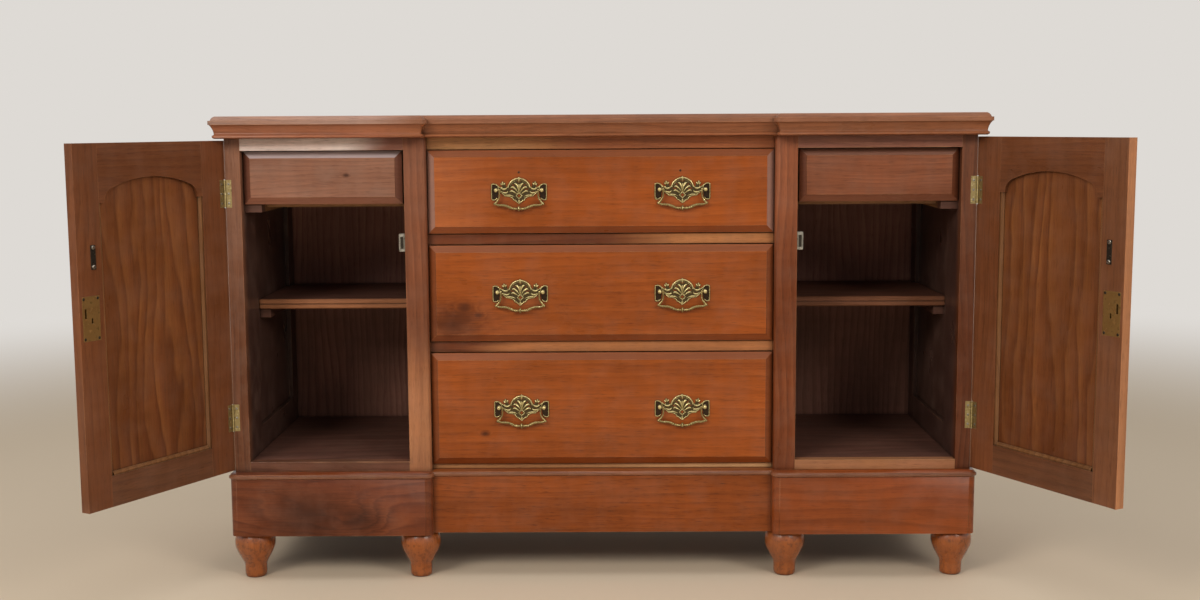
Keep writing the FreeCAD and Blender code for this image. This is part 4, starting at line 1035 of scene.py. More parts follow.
class NodeRecipe:
    """Geometry trees, built once, that make what repeats or follows a line."""

    trees: dict[str, Tree] = {}

    @classmethod
    def tree(cls, name: str, sockets: Sequence[tuple[str, str]]) -> Tree:
        """Start a geometry tree with named inputs.

        Args:
            name: Name of the tree.
            sockets: Names and types of the inputs after the geometry.

        Returns:
            The tree, with a geometry input and output.
        """
        made = bpy.data.node_groups.new(name, "GeometryNodeTree")
        made.interface.new_socket("Geometry", in_out="INPUT", socket_type="NodeSocketGeometry")
        for label, kind in sockets:
            made.interface.new_socket(label, in_out="INPUT", socket_type=kind)
        made.interface.new_socket("Geometry", in_out="OUTPUT", socket_type="NodeSocketGeometry")
        cls.trees[name] = made
        return made

    @classmethod
    def heads(cls) -> Tree:
        """Make the tree that sets a head on every point, turned to its surface with a random slot.

        Returns:
            The tree.
        """
        if "set_heads" in cls.trees:
            return cls.trees["set_heads"]
        tree = cls.tree("set_heads", (("Head", "NodeSocketObject"), ("Size", "NodeSocketFloat"),
                                      ("Seed", "NodeSocketInt"), ("Finish", "NodeSocketMaterial")))
        add = partial(add_node, tree)
        source = tree.nodes.new("NodeGroupInput").outputs
        facing = add("GeometryNodeInputNamedAttribute", {"Name": "facing"}, data_type="FLOAT_VECTOR")
        upright = add("FunctionNodeAlignRotationToVector", {"Vector": facing}, axis="Z")
        roll = add("FunctionNodeRandomValue", {2: 0.0, 3: math.tau, "Seed": source["Seed"]}, 1,
                   data_type="FLOAT")
        spin = add("FunctionNodeAxisAngleToRotation", {"Axis": (0.0, 0.0, 1.0), "Angle": roll})
        turned = add("FunctionNodeRotateRotation", {0: upright, 1: spin}, rotation_space="LOCAL")
        head = add("GeometryNodeObjectInfo", {"Object": source["Head"]}, "Geometry")
        points = add("GeometryNodeMeshToPoints", {"Mesh": source["Geometry"]})
        placed = add("GeometryNodeInstanceOnPoints", {"Points": points, "Instance": head, "Rotation": turned,
                                                      "Scale": source["Size"]})
        real = add("GeometryNodeRealizeInstances", {"Geometry": placed})
        dressed = add("GeometryNodeSetMaterial", {"Geometry": real, "Material": source["Finish"]})
        add("NodeGroupOutput", {0: dressed})
        return tree

    @classmethod
    def wires(cls) -> Tree:
        """Make the tree that runs a round wire along every edge line, as thick as its points say.

        Returns:
            The tree.
        """
        if "run_wires" in cls.trees:
            return cls.trees["run_wires"]
        tree = cls.tree("run_wires", (("Sides", "NodeSocketInt"), ("Finish", "NodeSocketMaterial")))
        add = partial(add_node, tree)
        source = tree.nodes.new("NodeGroupInput").outputs
        line = add("GeometryNodeMeshToCurve", {"Mesh": source["Geometry"]})
        thick = add("GeometryNodeInputNamedAttribute", {"Name": "thick"}, data_type="FLOAT")
        ring = add("GeometryNodeCurvePrimitiveCircle", {"Resolution": source["Sides"], "Radius": 1.0},
                   mode="RADIUS")
        skin = add("GeometryNodeCurveToMesh", {"Curve": line, "Profile Curve": ring, "Scale": thick,
                                               "Fill Caps": True})
        smooth = add("GeometryNodeSetShadeSmooth", {"Geometry": skin})
        real = add("GeometryNodeRealizeInstances", {"Geometry": smooth})
        dressed = add("GeometryNodeSetMaterial", {"Geometry": real, "Material": source["Finish"]})
        add("NodeGroupOutput", {0: dressed})
        return tree

    @staticmethod
    def run(mesh: bpy.types.Mesh, tree: Tree, values: dict[str, object]) -> bpy.types.Object:
        """Run a tree on a mesh and keep the result as a plain mesh.

        Args:
            mesh: Points or edges that the tree starts from.
            tree: Geometry tree.
            values: Inputs of the tree by name.

        Returns:
            New object with the finished mesh, linked to the scene.
        """
        name = mesh.name
        mesh.name = name + "_lines"
        carrier = bpy.data.objects.new(mesh.name, mesh)
        bpy.context.scene.collection.objects.link(carrier)
        modifier = carrier.modifiers.new("recipe", "NODES")
        modifier.node_group = tree
        for item in tree.interface.items_tree:
            if item.item_type == "SOCKET" and item.in_out == "INPUT" and item.name in values:
                modifier[item.identifier] = values[item.name]
        graph = bpy.context.evaluated_depsgraph_get()
        graph.update()
        finished = bpy.data.meshes.new_from_object(carrier.evaluated_get(graph))
        bpy.data.objects.remove(carrier)
        finished.name = name
        made = bpy.data.objects.new(name, finished)
        bpy.context.scene.collection.objects.link(made)
        return made


@dataclass
class Heads:
    """Heads of screws or nails on one body, set by a geometry tree.

    The rise of a head and half the width of its slot are shares of its radius.
    """

    name: str
    body: str
    finish: Finish
    slot: str
    radius: float = 3.0
    rise: float = 0.2
    slotted: bool = True
    slot_half: float = 0.13
    seed: int = 7
    points: list[tuple[Vector, Vector]] = field(default_factory=list)

    def prototype(self) -> bpy.types.Object:
        """Draw one head about the origin, facing up: two halves beside a slot, or a plain dome.

        Returns:
            Object of unit radius that isn't linked to the scene.
        """
        shape = Shape()
        if self.slotted:
            turns = [math.pi * k / 8 for k in range(9)]
            for side in (-1, 1):
                rings = [[Vector((math.cos(a) * r, side * max(math.sin(a) * r, self.slot_half), high))
                          for a in turns]
                         for r, high in ((1.0, 0.0), (0.93, self.rise * 0.6), (0.72, self.rise))]
                shape.rings(rings if side > 0 else [ring[::-1] for ring in rings])
            floor = [Vector((math.cos(a) * 0.97, math.sin(a) * 0.97, -0.1))
                     for a in (math.tau * k / 16 for k in range(16))]
            shape.rings([floor, [p + UPWARD * 0.14 for p in floor]])
        else:
            dome = ((0.0, 1.0), (0.22, 1.0), (0.36, 0.8), (0.44, 0.3))
            shape.turning(UPWARD * -0.2, UPWARD, dome, 10)
        made = shape.object(self.name + "_head", self.finish, "", "")
        made.data.transform(Matrix.Scale(1 / MM, 4))
        bpy.context.scene.collection.objects.unlink(made)
        return made

    def build(self) -> None:
        """Set the heads and let them ride on their body."""
        mesh = bpy.data.meshes.new(self.name)
        mesh.from_pydata([p * MM for p, _ in self.points], [], [])
        facing = mesh.attributes.new("facing", "FLOAT_VECTOR", "POINT")
        for item, (_, normal) in zip(facing.data, self.points):
            item.vector = normal
        head = self.prototype()
        values = {"Head": head, "Size": self.radius * MM, "Seed": self.seed, "Finish": self.finish.material()}
        made = NodeRecipe.run(mesh, NodeRecipe.heads(), values)
        bpy.data.objects.remove(head)
        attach(made, self.body)
        LOG.info("%s: %d heads", self.name, len(self.points))


@dataclass
class Wires:
    """Round wires along lines on one body, run by a geometry tree."""

    name: str
    body: str
    finish: Finish
    lines: list[tuple[list[Vector], float, bool]] = field(default_factory=list)
    sides: int = 8

    def build(self) -> None:
        """Run the wires and let them ride on their body."""
        points, edges, thick = [], [], []
        for line, radius, closed in self.lines:
            base = len(points)
            points.extend(p * MM for p in line)
            thick.extend([radius * MM] * len(line))
            edges.extend((base + i, base + i + 1) for i in range(len(line) - 1))
            if closed:
                edges.append((base + len(line) - 1, base))
        mesh = bpy.data.meshes.new(self.name)
        mesh.from_pydata(points, edges, [])
        mesh.attributes.new("thick", "FLOAT", "POINT").data.foreach_set("value", thick)
        values = {"Sides": self.sides, "Finish": self.finish.material()}
        made = NodeRecipe.run(mesh, NodeRecipe.wires(), values)
        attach(made, self.body)
        LOG.info("%s: %d wires", self.name, len(self.lines))


class Joinery:
    """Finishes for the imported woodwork."""

    @staticmethod
    def dress(names: Iterable[str], finish: Finish, bevel: float = 0.0) -> None:
        """Give straight-sided solids their finish, and soften their arrises.

        Args:
            names: Names of the nodes.
            finish: Finish for all of them.
            bevel: Width of the softened arris in millimetres, or 0 for none.
        """
        for name in names:
            node = frame["nodes"][name]
            node.data.materials.clear()
            node.data.materials.append(finish.material())
            if bevel:
                weld = node.modifiers.new("joined", "WELD")
                weld.merge_threshold = 0.01 * MM
                soft = node.modifiers.new("arris", "BEVEL")
                soft.width = bevel * MM
                soft.segments = 2
                soft.limit_method = "ANGLE"
                soft.angle_limit = math.radians(40)
            LOG.info("%s: %s", name, finish.name)

    @staticmethod
    def smooth(names: Iterable[str], finish: Finish, smooth_deg: float = 32.0) -> None:
        """Give moulded and rounded solids their finish on a copy that is shaded smooth.

        Args:
            names: Names of the nodes.
            finish: Finish for all of them.
            smooth_deg: Edges flatter than this are shaded smooth.
        """
        for name in names:
            node = frame["nodes"][name]
            mesh = node.data.copy()
            mesh.name = name + "_smooth"
            work = bmesh.new()
            work.from_mesh(mesh)
            bmesh.ops.remove_doubles(work, verts=work.verts, dist=0.005 * MM)
            work.to_mesh(mesh)
            work.free()
            mesh.materials.clear()
            mesh.materials.append(finish.material())
            mesh.shade_smooth()
            mesh.set_sharp_from_angle(angle=math.radians(smooth_deg))
            made = bpy.data.objects.new(mesh.name, mesh)
            bpy.context.scene.collection.objects.link(made)
            level = made.modifiers.new("level", "WEIGHTED_NORMAL")
            level.keep_sharp = True
            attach(made, body_of(node)[0])
            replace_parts(made, name)
            LOG.info("%s: %s, shaded smooth", name, finish.name)


@dataclass
class HandlePlate:
    """Pierced stamped plate with its two posts, about the middle between the posts."""

    dome_radius: float = 22.2
    dome_rise: float = 0.8
    post_x: float = 43.4
    sheet_t: float = PLATE_T
    wire: float = 1.0
    wire_lift: float = 0.2
    rim_radius: float = 21.2
    inner_rim: float = 0.85
    leaf_rise: float = 1.8
    leaf_swell: float = 1.2

    def half_outline(self) -> list[tuple[float, float]]:
        """Right half of the outline.

        Returns:
            Points from the finial down to the lower point.
        """
        dome = [(self.dome_radius * math.cos(math.radians(a)),
                 self.dome_rise + self.dome_radius * math.sin(math.radians(a))) for a in range(80, 14, -8)]
        trefoil = [(24.4, 5.0), (25.4, 9.6), (26.0, 12.2), (27.8, 13.4), (29.4, 12.6), (29.6, 15.2),
                   (31.0, 16.6), (32.6, 15.4), (32.4, 12.8), (34.2, 12.8), (34.8, 11.0), (33.0, 9.4),
                   (31.2, 7.6), (33.6, 5.2)]
        tab = [(38.6, 8.0), (43.4, 11.2), (46.6, 12.6), (50.6, 12.2), (52.7, 9.8), (52.9, -3.0),
               (52.8, -15.8), (51.2, -19.0), (48.0, -19.7), (43.6, -18.6), (40.6, -15.6), (39.8, -7.2),
               (39.6, -4.6), (38.4, -1.2)]
        foot = [(36.2, -0.6), (34.6, -2.6), (32.9, -6.2), (29.0, -9.2), (26.8, -11.9), (21.2, -12.3),
                (16.4, -13.6), (12.6, -16.2), (10.9, -19.3), (7.6, -20.5), (4.6, -23.0), (1.9, -25.4)]
        return [(0.0, 25.2), (1.5, 23.9)] + dome + trefoil + tab + foot + [(0.0, -26.6)]

    def outline(self) -> list[Vector]:
        """Whole outline of the sheet.

        Returns:
            Its points, in order.
        """
        half = self.half_outline()
        pairs = half + [(-x, z) for x, z in reversed(half[1:-1])]
        return [Vector((x, 0.0, z)) for x, z in pairs]

    def holes(self) -> list[list[Vector]]:
        """Piercings between the leaves of the palmette, in the shoulders and in the diamond.

        Returns:
            Points of each hole, in order.
        """
        right = [
            [(6.4, 4.8), (9.4, 7.4), (12.4, 9.4), (13.2, 12.6), (11.4, 11.6), (9.2, 9.4)],
            [(8.6, 0.4), (12.4, 2.4), (16.0, 2.8), (18.8, 4.6), (17.6, 1.4), (13.2, 0.0)],
            [(14.0, 13.6), (16.6, 9.4), (18.2, 9.2), (16.8, 12.6), (14.8, 14.6)],
            [(24.6, -1.6), (28.4, -2.4), (31.0, -1.2), (29.0, -4.2), (25.6, -4.4)],
        ]
        top = [(0.0, 13.4), (2.8, 15.6), (4.8, 17.8), (2.4, 18.0), (0.0, 16.2), (-2.4, 18.0), (-4.8, 17.8),
               (-2.8, 15.6)]
        diamond = [(0.0, -7.0), (3.6, -10.6), (0.0, -14.2), (-3.6, -10.6)]
        loops = right + [[(-x, z) for x, z in reversed(loop)] for loop in right] + [top, diamond]
        return [[Vector((x, 0.0, z)) for x, z in loop] for loop in loops]

    def leaves(self) -> list[list[tuple[float, float, float]]]:
        """Leaves of the right half.

        Returns:
            Places of each midrib with the leaf's half widths there.
        """
        return [
            [(0.3, -6.0, 0.7), (0.7, 0.0, 1.1), (1.8, 5.0, 1.5), (3.8, 9.4, 1.8), (6.4, 12.2, 1.7),
             (9.0, 12.4, 0.6)],
            [(0.8, -6.0, 0.7), (3.4, -2.0, 1.0), (6.8, 2.2, 1.4), (10.4, 5.2, 1.7), (13.6, 6.0, 1.5),
             (15.6, 4.2, 0.5)],
            [(2.8, -7.4, 0.7), (6.4, -5.4, 1.0), (10.0, -3.0, 1.5), (13.6, -1.6, 1.6), (16.4, -2.4, 1.1),
             (17.2, -4.2, 0.4)],
            [(21.8, 6.0, 0.8), (24.6, 3.0, 1.4), (28.8, 1.8, 1.7), (32.8, 3.2, 1.4), (37.0, 6.4, 0.5)],
            [(20.6, -1.6, 0.6), (22.4, -4.4, 1.4), (25.8, -5.4, 1.5), (30.0, -4.4, 1.3), (33.4, -2.2, 0.5)],
            [(9.0, -12.4, 0.5), (13.2, -10.6, 1.1), (18.0, -9.6, 1.3), (23.0, -9.4, 1.2), (27.4, -8.0, 0.5)],
            [(28.6, 9.8, 1.0), (27.2, 12.4, 1.7), (25.8, 13.8, 0.7)],
            [(30.4, 10.4, 1.0), (30.9, 14.0, 1.9), (31.0, 16.4, 0.8)],
            [(31.4, 9.6, 1.0), (33.4, 11.4, 1.7), (34.8, 12.4, 0.7)],
        ]

    def relief(self, shape: Shape) -> None:
        """Add the palmette's leaves, the trefoils, the finial and the posts.

        Args:
            shape: Shape that grows by them.
        """
        # the leaves start a little within the sheet
        base = OUTWARD * self.sheet_t * 0.9
        middle = [[(0.0, 14.6, 0.5), (0.0, 17.4, 1.4), (0.0, 20.4, 2.0), (0.0, 23.2, 2.2), (0.0, 25.0, 0.5)],
                  [(0.0, 3.4, 0.4), (0.0, 6.6, 1.5), (0.0, 9.4, 2.0), (0.0, 11.8, 0.5)],
                  [(0.0, -17.4, 0.6), (0.0, -20.0, 1.8), (0.0, -22.4, 2.0), (0.0, -24.6, 0.5)]]
        lines = middle + self.leaves() + [[(-x, z, w) for x, z, w in line] for line in self.leaves()]
        for line in lines:
            dense = curved(line, 4)
            rib = [Vector((x, 0.0, z)) + base for x, z, _ in dense]
            shape.leaf(rib, [w * self.leaf_swell for *_, w in dense], self.leaf_rise, OUTWARD)
        for side in (-1, 1):
            self.post(shape, side * self.post_x)

    def post(self, shape: Shape, x: float) -> None:
        """Add one turned post that carries the bail's pin.

        Args:
            shape: Shape that grows by the post.
            x: Place of the post's axis.
        """
        profile = ((0.0, 3.9), (1.2, 3.9), (1.6, 3.4), (2.2, 2.7), (4.2, 2.5), (4.8, 3.0), (6.0, 3.5),
                   (8.2, 3.8), (9.6, 3.4), (10.5, 2.4), (10.95, 1.0))
        shape.turning(Vector((x, 0.0, 0.0)), OUTWARD, profile, 20)

    def lines(self) -> list[tuple[list[Vector], float, bool]]:
        """Raised rims of the stamping.

        Returns:
            Points of each rim, radius of its wire and whether it closes.
        """
        lift = OUTWARD * (self.sheet_t + self.wire_lift)
        wire = self.wire
        centre = Vector((0.0, 0.0, self.dome_rise))
        spokes = [Vector((math.cos(a), 0.0, math.sin(a))) * self.rim_radius
                  for a in (math.radians(deg) for deg in range(10, 171, 5))]
        dome = [centre + spoke for spoke in spokes]
        inner = [centre + spoke * self.inner_rim for spoke in spokes[3:-3]]
        made = [(dome, wire * 1.4, False), (inner, wire * 0.5, False)]
        diamond = [(0.0, -4.8), (5.8, -10.6), (0.0, -16.4), (-5.8, -10.6)]
        made.append(([Vector((x, 0.0, z)) for x, z in diamond], wire * 1.15, True))
        half = [
            [(38.6, 1.0), (39.6, 6.6), (42.4, 10.0), (46.6, 11.6), (50.2, 11.2), (51.8, 9.4), (52.0, -3.0),
             (51.8, -15.5), (50.4, -18.0), (47.8, -18.6), (44.0, -17.6), (41.6, -15.0)],
            [(31.8, 6.0), (33.8, 4.0), (38.6, 6.8), (43.4, 10.2)],
            [(38.0, -0.6), (34.0, -2.8), (32.2, -5.9), (28.6, -8.3), (26.4, -10.9), (21.2, -11.3),
             (16.2, -12.6), (11.9, -15.4), (10.1, -18.6), (7.2, -19.6), (4.2, -22.2), (0.0, -25.5)],
        ]
        for side in (-1, 1):
            for line in half:
                dense = curved(line, 3)
                made.append(([Vector((side * x, 0.0, z)) for x, z in dense], wire, False))
        return [([p + lift for p in line], radius, closed) for line, radius, closed in made]

    def sheet(self) -> Shape:
        """Stamp the sheet with its relief.

        Returns:
            The plate with its posts, its back on the drawer's face.
        """
        shape = Shape()
        shape.sheet([self.outline()] + self.holes(), OUTWARD * self.sheet_t)
        self.relief(shape)
        return shape


@dataclass
class Bail:
    """Cast bail: two arms with pins, round corners and a bowed grip with a turned knop, about its axis."""

    arm_x: float = 36.6
    pin_end: float = 42.3
    pin_radius: float = 1.5
    corner: tuple[float, float] = (45.6, -25.6)
    corner_radius: float = 2.9
    centre_z: float = -35.0
    knop_radius: float = 5.4
    knop_half: float = 2.2

    def shape(self) -> Shape:
        """Draw the bail.

        Returns:
            The bail with its axis along x through the origin.
        """
        shape = Shape()
        x = self.arm_x
        # x, z and radius along the arm and the grip
        arm = [(x, 2.6, 1.0), (x, 2.0, 2.0), (x, 0.0, 2.4), (x, -3.4, 2.0), (x, -8.0, 1.6),
               (x + 0.5, -13.0, 1.6), (39.2, -18.0, 1.8), (42.6, -22.4, 2.1), (45.2, -25.2, 2.2)]
        grip = [(45.4, -25.7, 2.2), (41.6, -27.4, 2.1), (37.0, -28.2, 2.2), (31.0, -28.4, 2.4),
                (26.0, -29.0, 2.4), (21.0, -30.8, 2.5), (16.6, -32.8, 2.8), (14.6, -33.6, 2.0),
                (13.0, -34.2, 2.9), (11.2, -34.6, 2.0), (8.4, -35.0, 2.8), (5.4, -35.2, 2.1),
                (0.0, -35.2, 2.2)]
        round_by = self.corner_radius
        ball = [(round_by * (1 - math.cos(a)), max(round_by * math.sin(a), 0.15))
                for a in (math.pi * k / 8 for k in range(9))]
        for side in (-1, 1):
            for line in (arm, grip):
                dense = curved(line, 4)
                shape.rod([Vector((side * a, 0.0, z)) for a, z, _ in dense], [r for *_, r in dense])
            pin = Vector((side, 0.0, 0.0))
            shape.turning(pin * x, pin, ((0.0, self.pin_radius), (self.pin_end - x, self.pin_radius)), 12)
            back = Vector((side * self.corner[0], round_by, self.corner[1]))
            shape.turning(back, OUTWARD, ball, 14)
        h, r = self.knop_half, self.knop_radius
        knop = ((-h - 0.6, 2.1), (-h, 3.6), (-h * 0.7, r * 0.86), (-h * 0.35, r * 0.97), (0.0, r),
                (h * 0.35, r * 0.97), (h * 0.7, r * 0.86), (h, 3.6), (h + 0.6, 2.1))
        shape.turning(Vector((0.0, 0.0, self.centre_z)), Vector((1.0, 0.0, 0.0)), knop, 20)
        return shape


@dataclass
class CentreDrawer:
    """One of the three drawers of the centre with its front, box and handles."""

    name: str
    finish: Cedar
    plugs: tuple[tuple[float, float], ...] = ()
    axis_out: float = 8.0

    def handle_places(self) -> list[Vector]:
        """Middle points between the posts of the two handles, on the drawer's face.

        Returns:
            The left and the right place.
        """
        places = []
        for side in ("left", "right"):
            joint = next(j for j in frame["joints"] if j["name"] == f"{self.name}_drawer_bail_{side}_swing")
            x, y, z = (v / MM for v in joint["pos_m"])
            places.append(Vector((x, y + self.axis_out, z)))
        return places

    def build_plates(self) -> None:
        """Draw the two stamped plates and the wires of their rims."""
        body = self.name + "_drawer"
        plate = HandlePlate()
        sheet = plate.sheet()
        pair = Shape()
        rims = Wires(body + "_stamped_rims", body, Finishes.brass)
        for place in self.handle_places():
            moved = sheet.placed(lambda p, place=place: p + place)
            pair.add(moved.points, moved.faces)
            rims.lines += [([p + place for p in line], radius, closed)
                           for line, radius, closed in plate.lines()]
        made = pair.object(body + "_stamped_plates", Finishes.brass, body, "brass")
        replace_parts(made, body + "_handle_plates")
        rims.build()

    def build_bails(self) -> None:
        """Draw the two bails, each on its own swinging body."""
        bail = Bail().shape()
        for side, place in zip(("left", "right"), self.handle_places()):
            body = f"{self.name}_drawer_bail_{side}"
            axis = place + OUTWARD * self.axis_out
            moved = bail.placed(lambda p, axis=axis: p + axis)
            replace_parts(moved.object(body + "_cast", Finishes.cast, body, "brass"), body)

    def build_plugs(self) -> None:
        """Draw the plugs of old fixing holes above the handles."""
        body = self.name + "_drawer"
        face = self.handle_places()[0].y
        shape = Shape()
        depth = 1.5
        profile = ((0.0, 2.3), (1.55, 2.3), (1.7, 1.9))
        for x, z in self.plugs:
            shape.turning(Vector((x, face + depth, z)), OUTWARD, profile, 14)
        shape.object(body + "_plugs", Finishes.plug, body, "cedar")

    def build(self) -> None:
        """Dress the drawer and build its metalwork."""
        body = self.name + "_drawer"
        Joinery.dress([body + "_front"], self.finish, FINE_ARRIS)
        Joinery.dress([body + "_box"], Finishes.box, ARRIS)
        self.build_plates()
        self.build_bails()
        if self.plugs:
            self.build_plugs()


@dataclass
class InnerDrawer:
    """Shallow drawer inside a cupboard."""

    side: str

    def build(self) -> None:
        """Dress the drawer."""
        body = "inner_drawer_" + self.side
        finish = Finishes.inner_left if self.side == "left" else Finishes.inner_right
        Joinery.dress([body + "_front"], finish, FINE_ARRIS)
        Joinery.dress([body + "_box"], Finishes.box, ARRIS)


@dataclass(frozen=True)
class HingePair:
    """Heights of a door's two butt hinges and of the screws in their leaves."""

    starts: tuple[float, ...] = (291.5, 723.0)
    length: float = 52.0
    shares: tuple[float, ...] = (0.15, 0.5, 0.85)

    def screw_heights(self) -> list[float]:
        """Heights of the screws, from the lowest up."""
        return [start + self.length * share for start in self.starts for share in self.shares]


@dataclass
class Door:
    """One cupboard door with its panel, beads, hinges, lock and fittings, standing open."""

    side: str
    inner_y: float = -1.0
    thick: float = 18.0
    half_width: float = 710.0
    lock: tuple[float, float, float, float] = (312.0, 350.0, 512.0, 589.0)
    lock_screw_inset: tuple[float, float] = (3.8, 4.0)
    hinges: HingePair = HingePair()
    leaf_middle: float = 6.2
    low_z: float = 214.0
    high_z: float = 849.0
    lip: float = 1.0
    roll: float = 1.08
    strike: tuple[float, float, float, float] = (316.0, 327.0, 634.0, 676.0)
    strike_rise: float = 0.7
    strike_screws: tuple[float, float] = (638.6, 672.0)
    knob: tuple[float, float] = (327.4, 503.0)
    keyhole: tuple[float, float] = (329.0, 547.0)
    key_radius: float = 4.6

    def opened(self, point: Vector) -> Vector:
        """Turn a point of the shut left door open, and mirror it for the right one.

        Args:
            point: Distance from the hinge edge, depth behind the stiles' front and height.

        Returns:
            The point in the part's frame.
        """
        joint = next(j for j in frame["joints"] if j["name"] == "door_left_hinge")
        pin = Vector((joint["pos_m"][0] / MM, joint["pos_m"][1] / MM, 0.0))
        turn = Matrix.Rotation(math.radians(-DOOR_TURN), 3, "Z")
        moved = turn @ (Vector((point.x - self.half_width, point.y + STILE_Y, point.z)) - pin) + pin
        return Vector((-moved.x, moved.y, moved.z)) if self.side == "right" else moved

    def facing(self) -> Vector:
        """Direction of the inner face of the open door."""
        return self.opened(Vector((100.0, 1.0, 0.0))) - self.opened(Vector((100.0, 0.0, 0.0)))

    def turned(self, shape: Shape) -> Shape:
        """A shape of the shut left door, moved to the open door."""
        return shape.placed(self.opened, self.side == "right")

    def screws(self) -> None:
        """Set the screws of the lock, the hinge leaves and the strike plate."""
        body = "door_" + self.side
        inner = self.facing()
        low_x, high_x, low_z, high_z = self.lock
        in_x, in_z = self.lock_screw_inset
        lock = Heads(body + "_lock_screws", body, Finishes.dark_steel, "brass", 2.6)
        lock.points = [(self.opened(Vector((x, self.inner_y, z))), inner)
                       for x in (low_x + in_x, high_x - in_x) for z in (low_z + in_z, high_z - in_z)]
        lock.build()
        strike = Heads(body + "_strike_screws", body, Finishes.steel, "brass", 3.7, 0.55)
        middle = (self.strike[0] + self.strike[1]) / 2
        strike.points = [(self.opened(Vector((middle, self.inner_y + self.strike_rise, z))), inner)
                         for z in self.strike_screws]
        strike.build()
        hinge = Heads(body + "_hinge_screws", body, Finishes.steel, "brass", 2.4)
        hinge.points = [(self.opened(Vector((self.leaf_middle, self.inner_y, z))), inner)
                        for z in self.hinges.screw_heights()]
        hinge.build()

    def fittings(self) -> None:
        """Draw the strike plate of the catch and the small turned knob on the front."""
        body = "door_" + self.side
        low_x, high_x, low_z, high_z = self.strike
        plate = Shape()
        top = self.inner_y + self.strike_rise
        plate.box((low_x, self.inner_y - 0.3, low_z), (high_x, top, high_z), 0.3)
        made = self.turned(plate).object(body + "_strike_plate", Finishes.dark_steel, body, "brass")
        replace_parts(made, body + "_fittings")
        profile = ((-0.6, 4.6), (0.8, 4.6), (1.3, 3.9), (2.2, 3.0), (6.5, 2.8), (9.8, 3.2), (11.0, 4.4),
                   (12.4, 6.4), (14.6, 7.4), (16.6, 6.9), (18.2, 4.8), (18.95, 1.6))
        knob = Shape()
        front = Vector((self.knob[0], self.inner_y - self.thick, self.knob[1]))
        knob.turning(front, OUTWARD, profile, 28)
        made = self.turned(knob).object(body + "_turned_knob", Finishes.hinge, body, "brass")
        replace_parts(made, body + "_fittings")

    def lipping(self, finish: Cedar) -> None:
        """Draw the thin lipping with a rolled edge that closes the gap between the hinges.

        Args:
            finish: Finish of the stiles.
        """
        body = "door_" + self.side
        shape = Shape()
        room = 1.0
        stops = [self.low_z]
        for start in self.hinges.starts:
            stops += [start - room, start + self.hinges.length + room]
        stops.append(self.high_z)
        for low, high in zip(stops[::2], stops[1::2]):
            shape.box((-self.lip, self.inner_y - self.thick + 0.3, low), (0.2, self.inner_y, high), 0.15)
            shape.turning(Vector((-self.lip, self.inner_y + 0.5, low)), UPWARD,
                          ((0.0, self.roll), (high - low, self.roll)), 32)
        self.turned(shape).object(body + "_lipping", finish, body, "cedar")

    def escutcheon(self) -> None:
        """Run the keyhole's raised ring on the outer face."""
        body = "door_" + self.side
        turns = [math.radians(a) for a in range(-50, 231, 20)]
        key = [(self.key_radius * math.cos(a), 3.4 + self.key_radius * math.sin(a)) for a in turns]
        key += [(-3.9, -9.4), (3.9, -9.4)]
        face = self.inner_y - self.thick - 0.3
        line = [self.opened(Vector((self.keyhole[0] + x, face, self.keyhole[1] + z))) for x, z in key]
        Wires(body + "_keyhole_ring", body, Finishes.plate, [(line, 0.9, True)]).build()

    def build(self) -> None:
        """Dress the door and build its small metalwork."""
        body = "door_" + self.side
        finishes = Finishes.door(self.side)
        Joinery.dress([body + "_stiles"], finishes["stiles"], ARRIS)
        for part in ("rails", "panel"):
            Joinery.dress([f"{body}_{part}"], finishes[part])
        Joinery.smooth([body + "_beads"], finishes["beads"])
        self.lipping(finishes["stiles"])
        Joinery.smooth([body + "_hinge_leaves"], Finishes.hinge)
        Joinery.dress([body + "_lock"], Finishes.plate, METAL_ARRIS)
        self.screws()
        self.fittings()
        self.escutcheon()


@dataclass
class TurnedFeet:
    """The four turned front feet."""

    places: tuple[float, ...] = (-681.0, -356.0, 356.0, 681.0)
    setback: float = 18.0
    profile: tuple[tuple[float, float], ...] = (
        (0.0, 18.6), (0.8, 19.6), (3.0, 20.6), (8.0, 21.2), (18.0, 21.3), (24.0, 21.7), (28.5, 23.2),
        (33.5, 25.7), (39.0, 28.6), (45.0, 31.7), (51.0, 34.6), (57.0, 37.0), (63.0, 38.6), (69.3, 39.15),
        (75.0, 38.7), (80.0, 37.6), (84.5, 36.0), (87.6, 34.6), (89.6, 33.4))

    def build(self) -> None:
        """Turn the feet and let them ride on the carcass."""
        shape = Shape()
        for x in self.places:
            shape.turning(Vector((x, STILE_Y + self.setback, 0.0)), UPWARD, curved(self.profile, 3), 48)
        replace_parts(shape.object("feet_turned", Finishes.foot, "carcass", "cedar", 50.0), "turned_feet")


